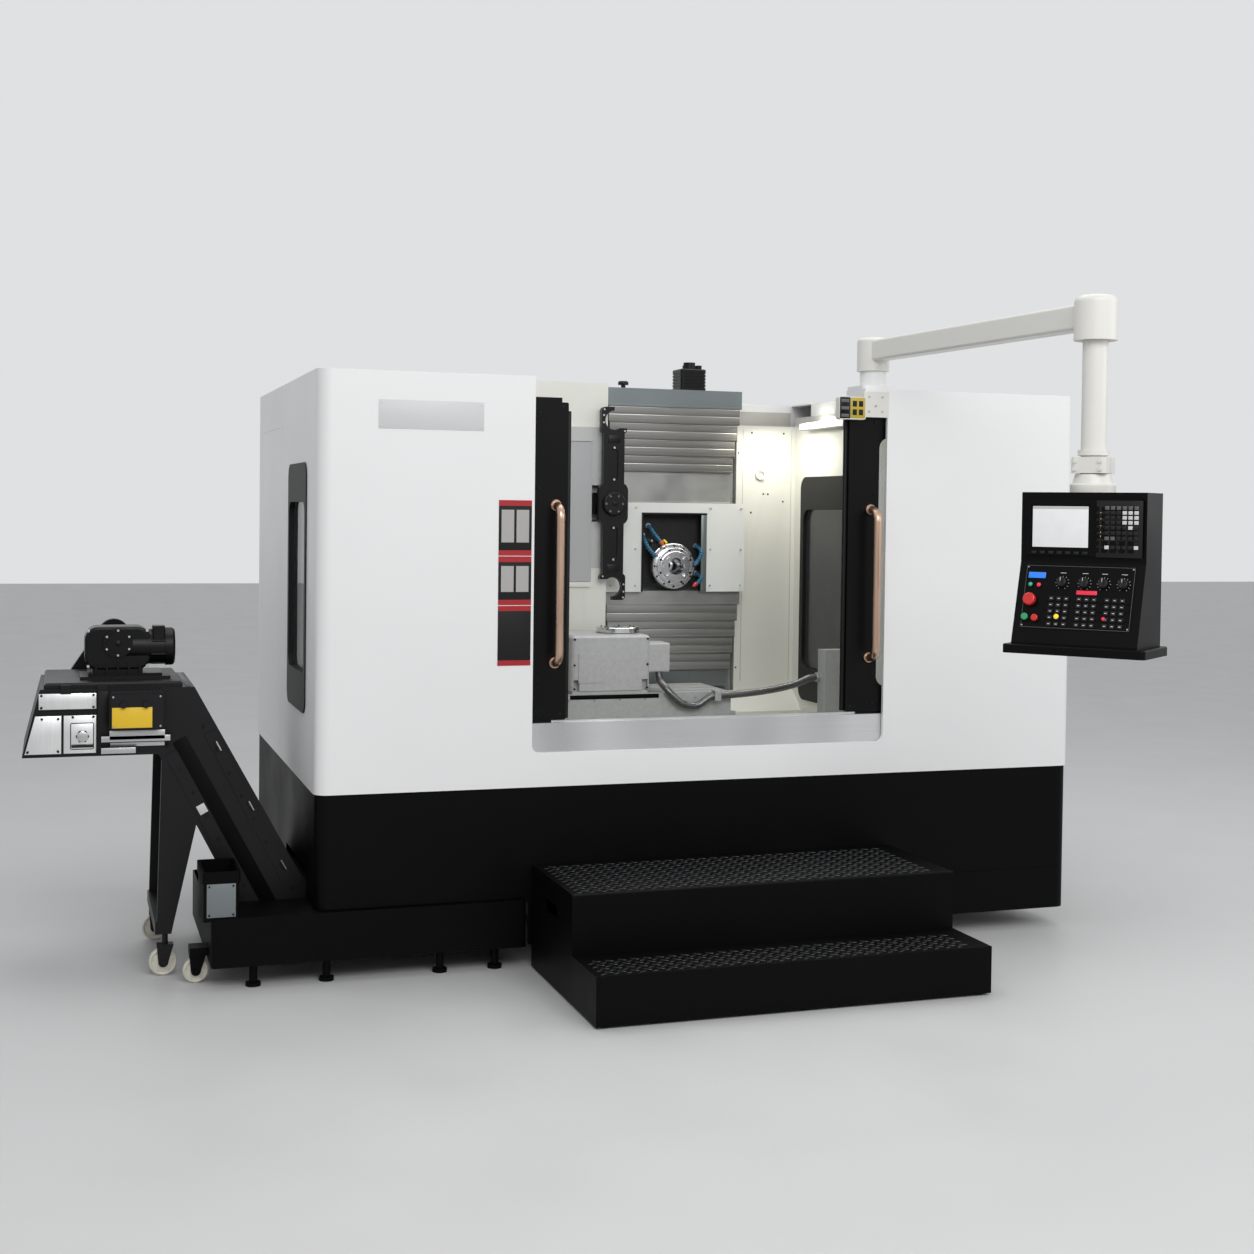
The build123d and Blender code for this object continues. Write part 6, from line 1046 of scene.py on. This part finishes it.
class MACHINE_OT_conveyor_slope(bpy.types.Operator):
    """Band, screws and hinges on the conveyor's slope, slots on its head and the tank's end plate"""
    bl_idname = "machine.conveyor_slope"
    bl_label = "Conveyor slope"

    def execute(self, context):
        foot, head = Vector((-1.577, 0.0, 0.197)), Vector((-1.9455, 0.0, 0.892))
        along, length = (head - foot).normalized(), (head - foot).length
        lay = Matrix.Translation((foot + head) / 2) @ Matrix.Rotation(math.atan2(along.x, along.z), 4, "Y")
        front = CONVEYOR_FRONT
        low, high = -length * 0.44, length * 0.42
        sloped = [block((-0.048, front - 0.0050, low), (0.002, front - 0.0032, high), "black", 0.0008),
                  block((-0.084, front - 0.0048, 0.058), (-0.054, front - 0.0036, 0.092), "legend", 0.0003)]
        levels = [(i / 7 - 0.5) * length * 0.84 for i in range(8)]
        sloped += screws(grid((-0.068, 0.070), levels), front - 0.0042, 0.0048)
        for level in (-length * 0.31, 0.0, length * 0.31):
            hinge = ((0.074, front - 0.010, level - 0.016), (0.082, front - 0.004, level + 0.016))
            sloped.append(block(*hinge, "oxide", 0.002))
            sloped.append(pin((0.083, front - 0.008, level), UP, 0.0030, 0.038, "bolt"))
        made = [laid(piece, lay) for piece in sloped]
        slot_pitch, slot_width = 0.042, 0.018
        motor_left, motor_right = -2.26, -2.02
        for i in range(12):
            x = -2.376 + i * slot_pitch
            if x + slot_width < motor_left or x > motor_right:
                made.append(block((x, -0.636, 1.0070), (x + slot_width, -0.124, 1.0095), "oxide", 0.0009))
        mount("conveyor_slope_fittings", made, "base")
        plate = [block((-1.8600, -0.9002, 0.2500), (-1.7640, -0.8984, 0.3640), "cap", 0.0006)]
        plate += screws(grid((-1.8520, -1.7720), (0.2580, 0.3560)), -0.9000, 0.0034)
        mount("tank_end_plate", plate, "base")
        return {"FINISHED"}


class MACHINE_OT_motor_details(bpy.types.Operator):
    """Cover, screws and cooling fins of the gear motor"""
    bl_idname = "machine.motor_details"
    bl_label = "Gear motor"

    def execute(self, context):
        x, y, z = -2.139, -0.544, 1.156
        cap = y - 0.0058
        made = [collar((x, y + 0.0005, z), FRONT, 0.0495, 0.0370, 0.0030, "oxide"),
                collar((x, cap, z), FRONT, 0.0345, 0.0270, 0.0022, "satin_black"),
                collar((x, cap, z), FRONT, 0.0225, 0.0150, 0.0022, "satin_black"),
                dome((x, cap, z), FRONT, 0.0105, 0.0050, "oxide")]
        made += [hex_head((px, y - 0.0022, pz), FRONT, 0.0046, 0.0034)
                 for px, pz in around(x, z, 0.0432, 6, 30)]
        made += [hex_head((px, -0.5298, pz), FRONT, 0.0060, 0.0045)
                 for px, pz in grid((-2.238, -2.040), (1.074, 1.198))]
        shaft_y, shaft_z = -0.475, 1.138
        for i in range(9):
            fin = (-2.098 + i * 0.0135, shaft_y, shaft_z)
            made.append(collar(fin, RIGHT, 0.0645, 0.0605, 0.0034, "satin_black", 40))
        for i in range(4):
            outer, inner = 0.060 - i * 0.014, 0.053 - i * 0.014
            made.append(collar((-1.9425, shaft_y, shaft_z), RIGHT, outer, inner, 0.0018, "oxide", 40))
        mount("motor_fittings", made, "base")
        return {"FINISHED"}


class MACHINE_OT_wheel_details(bpy.types.Operator):
    """Rings and round screws on the hubs of the casters"""
    bl_idname = "machine.wheel_details"
    bl_label = "Caster hubs"

    def execute(self, context):
        wheels = (("conveyor_wheel_front", "front_wheel"), ("conveyor_wheel_back", "back_wheel"),
                  ("tank_wheel", "tank_roller"))
        for node, body in wheels:
            low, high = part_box(node)
            x, z, radius = (low.x + high.x) / 2, (low.z + high.z) / 2, (high.z - low.z) / 2
            made = []
            for face, way in ((low.y, -1), (high.y, 1)):
                axle = (0, way, 0)
                foot = (x, face - way * 0.0004, z)
                made.append(collar(foot, axle, radius * 0.56, radius * 0.42, 0.0014, "bolt"))
                made += [dome((px, face - way * 0.0002, pz), axle, radius * 0.07, 0.0010, "light_grey")
                         for px, pz in around(x, z, radius * 0.70, 5, 18)]
            mount(f"{node}_hub", made, body)
        return {"FINISHED"}


class MACHINE_OT_door_details(bpy.types.Operator):
    """Seal lips and screws of both door leaves"""
    bl_idname = "machine.door_details"
    bl_label = "Door details"

    def execute(self, context):
        leaf = -0.8670
        for side, node, body in ((1, "left_door", "left_leaf"), (-1, "right_door", "right_leaf")):
            low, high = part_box(node)
            meeting = high.x - 0.014 if side > 0 else low.x + 0.014
            near, far = sorted((meeting, meeting + side * 0.012))
            made = [block((near, -0.8545, 0.890), (far, -0.8415, 1.995), "rubber", 0.003)]
            made += screws(grid((meeting - side * 0.110,), (0.915, 1.030, 1.720, 1.990)), leaf, 0.0048)
            made += domes(grid((meeting - side * 0.020,), (0.905, 2.012)), leaf, 0.0040, 0.0020)
            mount(f"{node}_fittings", made, body)
        return {"FINISHED"}


class MACHINE_OT_interlock(bpy.types.Operator):
    """Yellow face, dark body and screws of the guard switch"""
    bl_idname = "machine.interlock"
    bl_label = "Guard switch"

    def execute(self, context):
        face, base = -0.905, -0.8928
        made = [block((0.4555, face - 0.0022, 2.0000), (0.5005, face + 0.0120, 2.0820), "satin_black", 0.004),
                block((0.5000, face - 0.0030, 2.0020), (0.5620, face + 0.0120, 2.0810), "switch_yellow",
                      0.004)]
        for x, z in grid((0.508, 0.534), (2.014, 2.046)):
            made.append(block((x, face - 0.0036, z), (x + 0.018, face - 0.0020, z + 0.022), "panel", 0.0008))
        for z in (2.012, 2.040, 2.068):
            rib = ((0.462, face - 0.0030, z - 0.006), (0.494, face - 0.0015, z + 0.006))
            made.append(block(*rib, "grey_key", 0.001))
        places = ((0.584, 2.030), (0.584, 2.086), (0.612, 2.052), (0.640, 2.030), (0.640, 2.086))
        made += screws(places, base, 0.0038, "bolt")
        mount("guard_switch_face", made, "base")
        return {"FINISHED"}


class MACHINE_OT_plates(bpy.types.Operator):
    """Bare name plate and the strip of plain colour fields on the left front panel"""
    bl_idname = "machine.plates"
    bl_label = "Bare plates"

    def execute(self, context):
        y = PANEL_FRONT
        plate = [block((-1.290, y - 0.0015, 1.916), (-0.916, y + 0.0005, 2.017), "name_plate", 0.0006)]
        plate += domes(grid((-1.281, -0.925), (1.926, 2.007)), y - 0.0014, 0.0030, 0.0012, "bolt")
        mount("bare_name_plate", plate, "base")

        left, right, top = -0.859, -0.738, 1.674
        fields = []

        def field(x, z, paint):
            fields.append(block((x[0], y - 0.0014, z[0]), (x[1], y - 0.0010, z[1]), paint))

        for height, band, pictures in ((0.200, 0.020, 2), (0.176, 0.020, 2), (0.216, 0.018, 0)):
            bottom = top - height
            sheet = ((left, y - 0.0011, bottom + 0.003), (right, y + 0.0005, top))
            fields.append(block(*sheet, "panel", 0.0003))
            field((left, right), (top - band, top), "sign_red")
            for column in range(pictures):
                x = left + 0.010 + column * 0.055
                field((x, x + 0.046), (bottom + 0.050, top - band - 0.014), "picture_grey")
            field((left, right), (bottom + 0.003, bottom + 0.022), "sign_red")
            top = bottom
        mount("plain_colour_strip", fields, "base")
        return {"FINISHED"}


class MACHINE_OT_back_details(bpy.types.Operator):
    """Latches and louvres of the rear doors"""
    bl_idname = "machine.back_details"
    bl_label = "Rear doors"

    def execute(self, context):
        made = []
        back = 0.890
        for x in (-0.640, 0.640):
            latch = ((x - 0.016, back - 0.0005, 1.230), (x + 0.016, back + 0.0020, 1.370))
            made.append(block(*latch, "satin_black", 0.0015))
            for z in (1.248, 1.352):
                made.append(pin((x, back + 0.0022, z), (0, 1, 0), 0.0075, 0.004, "bolt"))
        for x, i in grid((-1.150, 1.150), range(10)):
            z = 0.900 + i * 0.026
            slat = ((x - 0.110, back - 0.0005, z), (x + 0.110, back + 0.0030, z + 0.012))
            made.append(block(*slat, "white", 0.0014))
        mount("rear_door_fittings", made, "base")
        return {"FINISHED"}


class MACHINE_OT_stage(bpy.types.Operator):
    """Floor, soft lights and the camera"""
    bl_idname = "machine.stage"
    bl_label = "Stage"

    def execute(self, context):
        context.scene.view_settings.view_transform = "Standard"
        start()
        bpy.ops.mesh.primitive_plane_add(size=60)
        floor = bpy.context.object
        floor.name = "studio_floor"
        floor.data.materials.append(painted("floor_paint", (0.60, 0.60, 0.60), 0.5, shift=0.03))
        world = bpy.data.worlds.new("studio")
        context.scene.world = world
        world.use_nodes = True
        tree = world.node_tree
        light = tree.nodes["Background"]
        light.inputs["Color"].default_value = (0.97, 0.985, 1.0, 1)
        light.inputs["Strength"].default_value = 0.50
        backdrop = tree.nodes.new("ShaderNodeBackground")
        backdrop.inputs["Color"].default_value = (0.74, 0.75, 0.76, 1)
        rays = tree.nodes.new("ShaderNodeLightPath")
        seen = sums(tree, "MAXIMUM", rays.outputs["Is Camera Ray"], rays.outputs["Is Glossy Ray"])
        seen = sums(tree, "MAXIMUM", seen, rays.outputs["Is Transmission Ray"])
        mix = tree.nodes.new("ShaderNodeMixShader")
        tree.links.new(seen, mix.inputs["Fac"])
        tree.links.new(light.outputs["Background"], mix.inputs[1])
        tree.links.new(backdrop.outputs["Background"], mix.inputs[2])
        tree.links.new(mix.outputs["Shader"], tree.nodes["World Output"].inputs["Surface"])

        def lamp(name, place, target, size, power, tone=(1, 1, 1)):
            light = bpy.data.lights.new(name, "AREA")
            light.shape = "RECTANGLE"
            light.size, light.size_y = size
            light.energy = power
            light.color = tone
            holder = bpy.data.objects.new(name, light)
            context.scene.collection.objects.link(holder)
            holder.location = place
            holder.rotation_euler = (Vector(target) - Vector(place)).to_track_quat("-Z", "Y").to_euler()

        lamp("key", (-0.6, -6.4, 4.6), (0, -0.6, 1.0), (5.0, 3.0), 200)
        lamp("fill", (5.0, -4.2, 3.2), (0.3, -0.8, 1.0), (3.0, 3.0), 60)
        lamp("top", (0.0, 0.2, 5.6), (0, 0, 0), (6.0, 3.0), 110)
        lamp("work_light", (0.640, -0.090, 2.033), (0.69, -0.15, 1.2), (0.16, 0.30), settings().work_light,
             (1.0, 0.97, 0.84))

        camera = bpy.data.cameras.new("photo_camera")
        eye = (-2.3479, -6.7686, 1.6428)
        camera.lens = 48.99
        camera.sensor_width = 36.0
        camera.shift_y = -0.0589
        holder = bpy.data.objects.new("photo_camera", camera)
        context.scene.collection.objects.link(holder)
        yaw, pitch, roll = (math.radians(angle) for angle in (18.5214, 1.4347, -0.7168))
        right = Vector((math.cos(yaw), -math.sin(yaw), 0))
        ahead = Vector((math.sin(yaw) * math.cos(pitch), math.cos(yaw) * math.cos(pitch), -math.sin(pitch)))
        down = ahead.cross(right)
        across = math.cos(roll) * right + math.sin(roll) * down
        under = -math.sin(roll) * right + math.cos(roll) * down
        turn = Matrix((across, -under, -ahead)).transposed().to_4x4()
        holder.matrix_world = Matrix.Translation(eye) @ turn
        context.scene.camera = holder
        return {"FINISHED"}


class MACHINE_PT_panel(bpy.types.Panel):
    """Sizes, colours and a button for each group of pieces"""
    bl_label = "Machine"
    bl_idname = "MACHINE_PT_panel"
    bl_space_type = "VIEW_3D"
    bl_region_type = "UI"
    bl_category = "Machine"

    def draw(self, context):
        for name in MachineSettings.__annotations__:
            self.layout.prop(context.scene.machine_settings, name)
        for operator in OPERATORS:
            self.layout.operator(operator.bl_idname)


OPERATORS = (
    MACHINE_OT_finishes, MACHINE_OT_treads, MACHINE_OT_table_hose, MACHINE_OT_coolant,
    MACHINE_OT_spindle_face, MACHINE_OT_cover_edges, MACHINE_OT_changer_details,
    MACHINE_OT_room_details, MACHINE_OT_table_details, MACHINE_OT_pendant_face,
    MACHINE_OT_conveyor_details, MACHINE_OT_conveyor_slope, MACHINE_OT_motor_details,
    MACHINE_OT_wheel_details, MACHINE_OT_door_details, MACHINE_OT_interlock, MACHINE_OT_plates,
    MACHINE_OT_back_details, MACHINE_OT_stage,
)


def register():
    for cls in (MachineSettings, MACHINE_PT_panel) + OPERATORS:
        bpy.utils.register_class(cls)
    bpy.types.Scene.machine_settings = bpy.props.PointerProperty(type=MachineSettings)


def unregister():
    del bpy.types.Scene.machine_settings
    for cls in reversed((MachineSettings, MACHINE_PT_panel) + OPERATORS):
        bpy.utils.unregister_class(cls)


def main():
    register()
    bpy.ops.machine.finishes()
    bpy.ops.machine.treads()
    bpy.ops.machine.table_hose()
    bpy.ops.machine.coolant()
    bpy.ops.machine.spindle_face()
    bpy.ops.machine.cover_edges()
    bpy.ops.machine.changer_details()
    bpy.ops.machine.room_details()
    bpy.ops.machine.table_details()
    bpy.ops.machine.pendant_face()
    bpy.ops.machine.conveyor_details()
    bpy.ops.machine.conveyor_slope()
    bpy.ops.machine.motor_details()
    bpy.ops.machine.wheel_details()
    bpy.ops.machine.door_details()
    bpy.ops.machine.interlock()
    bpy.ops.machine.plates()
    bpy.ops.machine.back_details()
    bpy.ops.machine.stage()


if __name__ == "__main__":
    main()
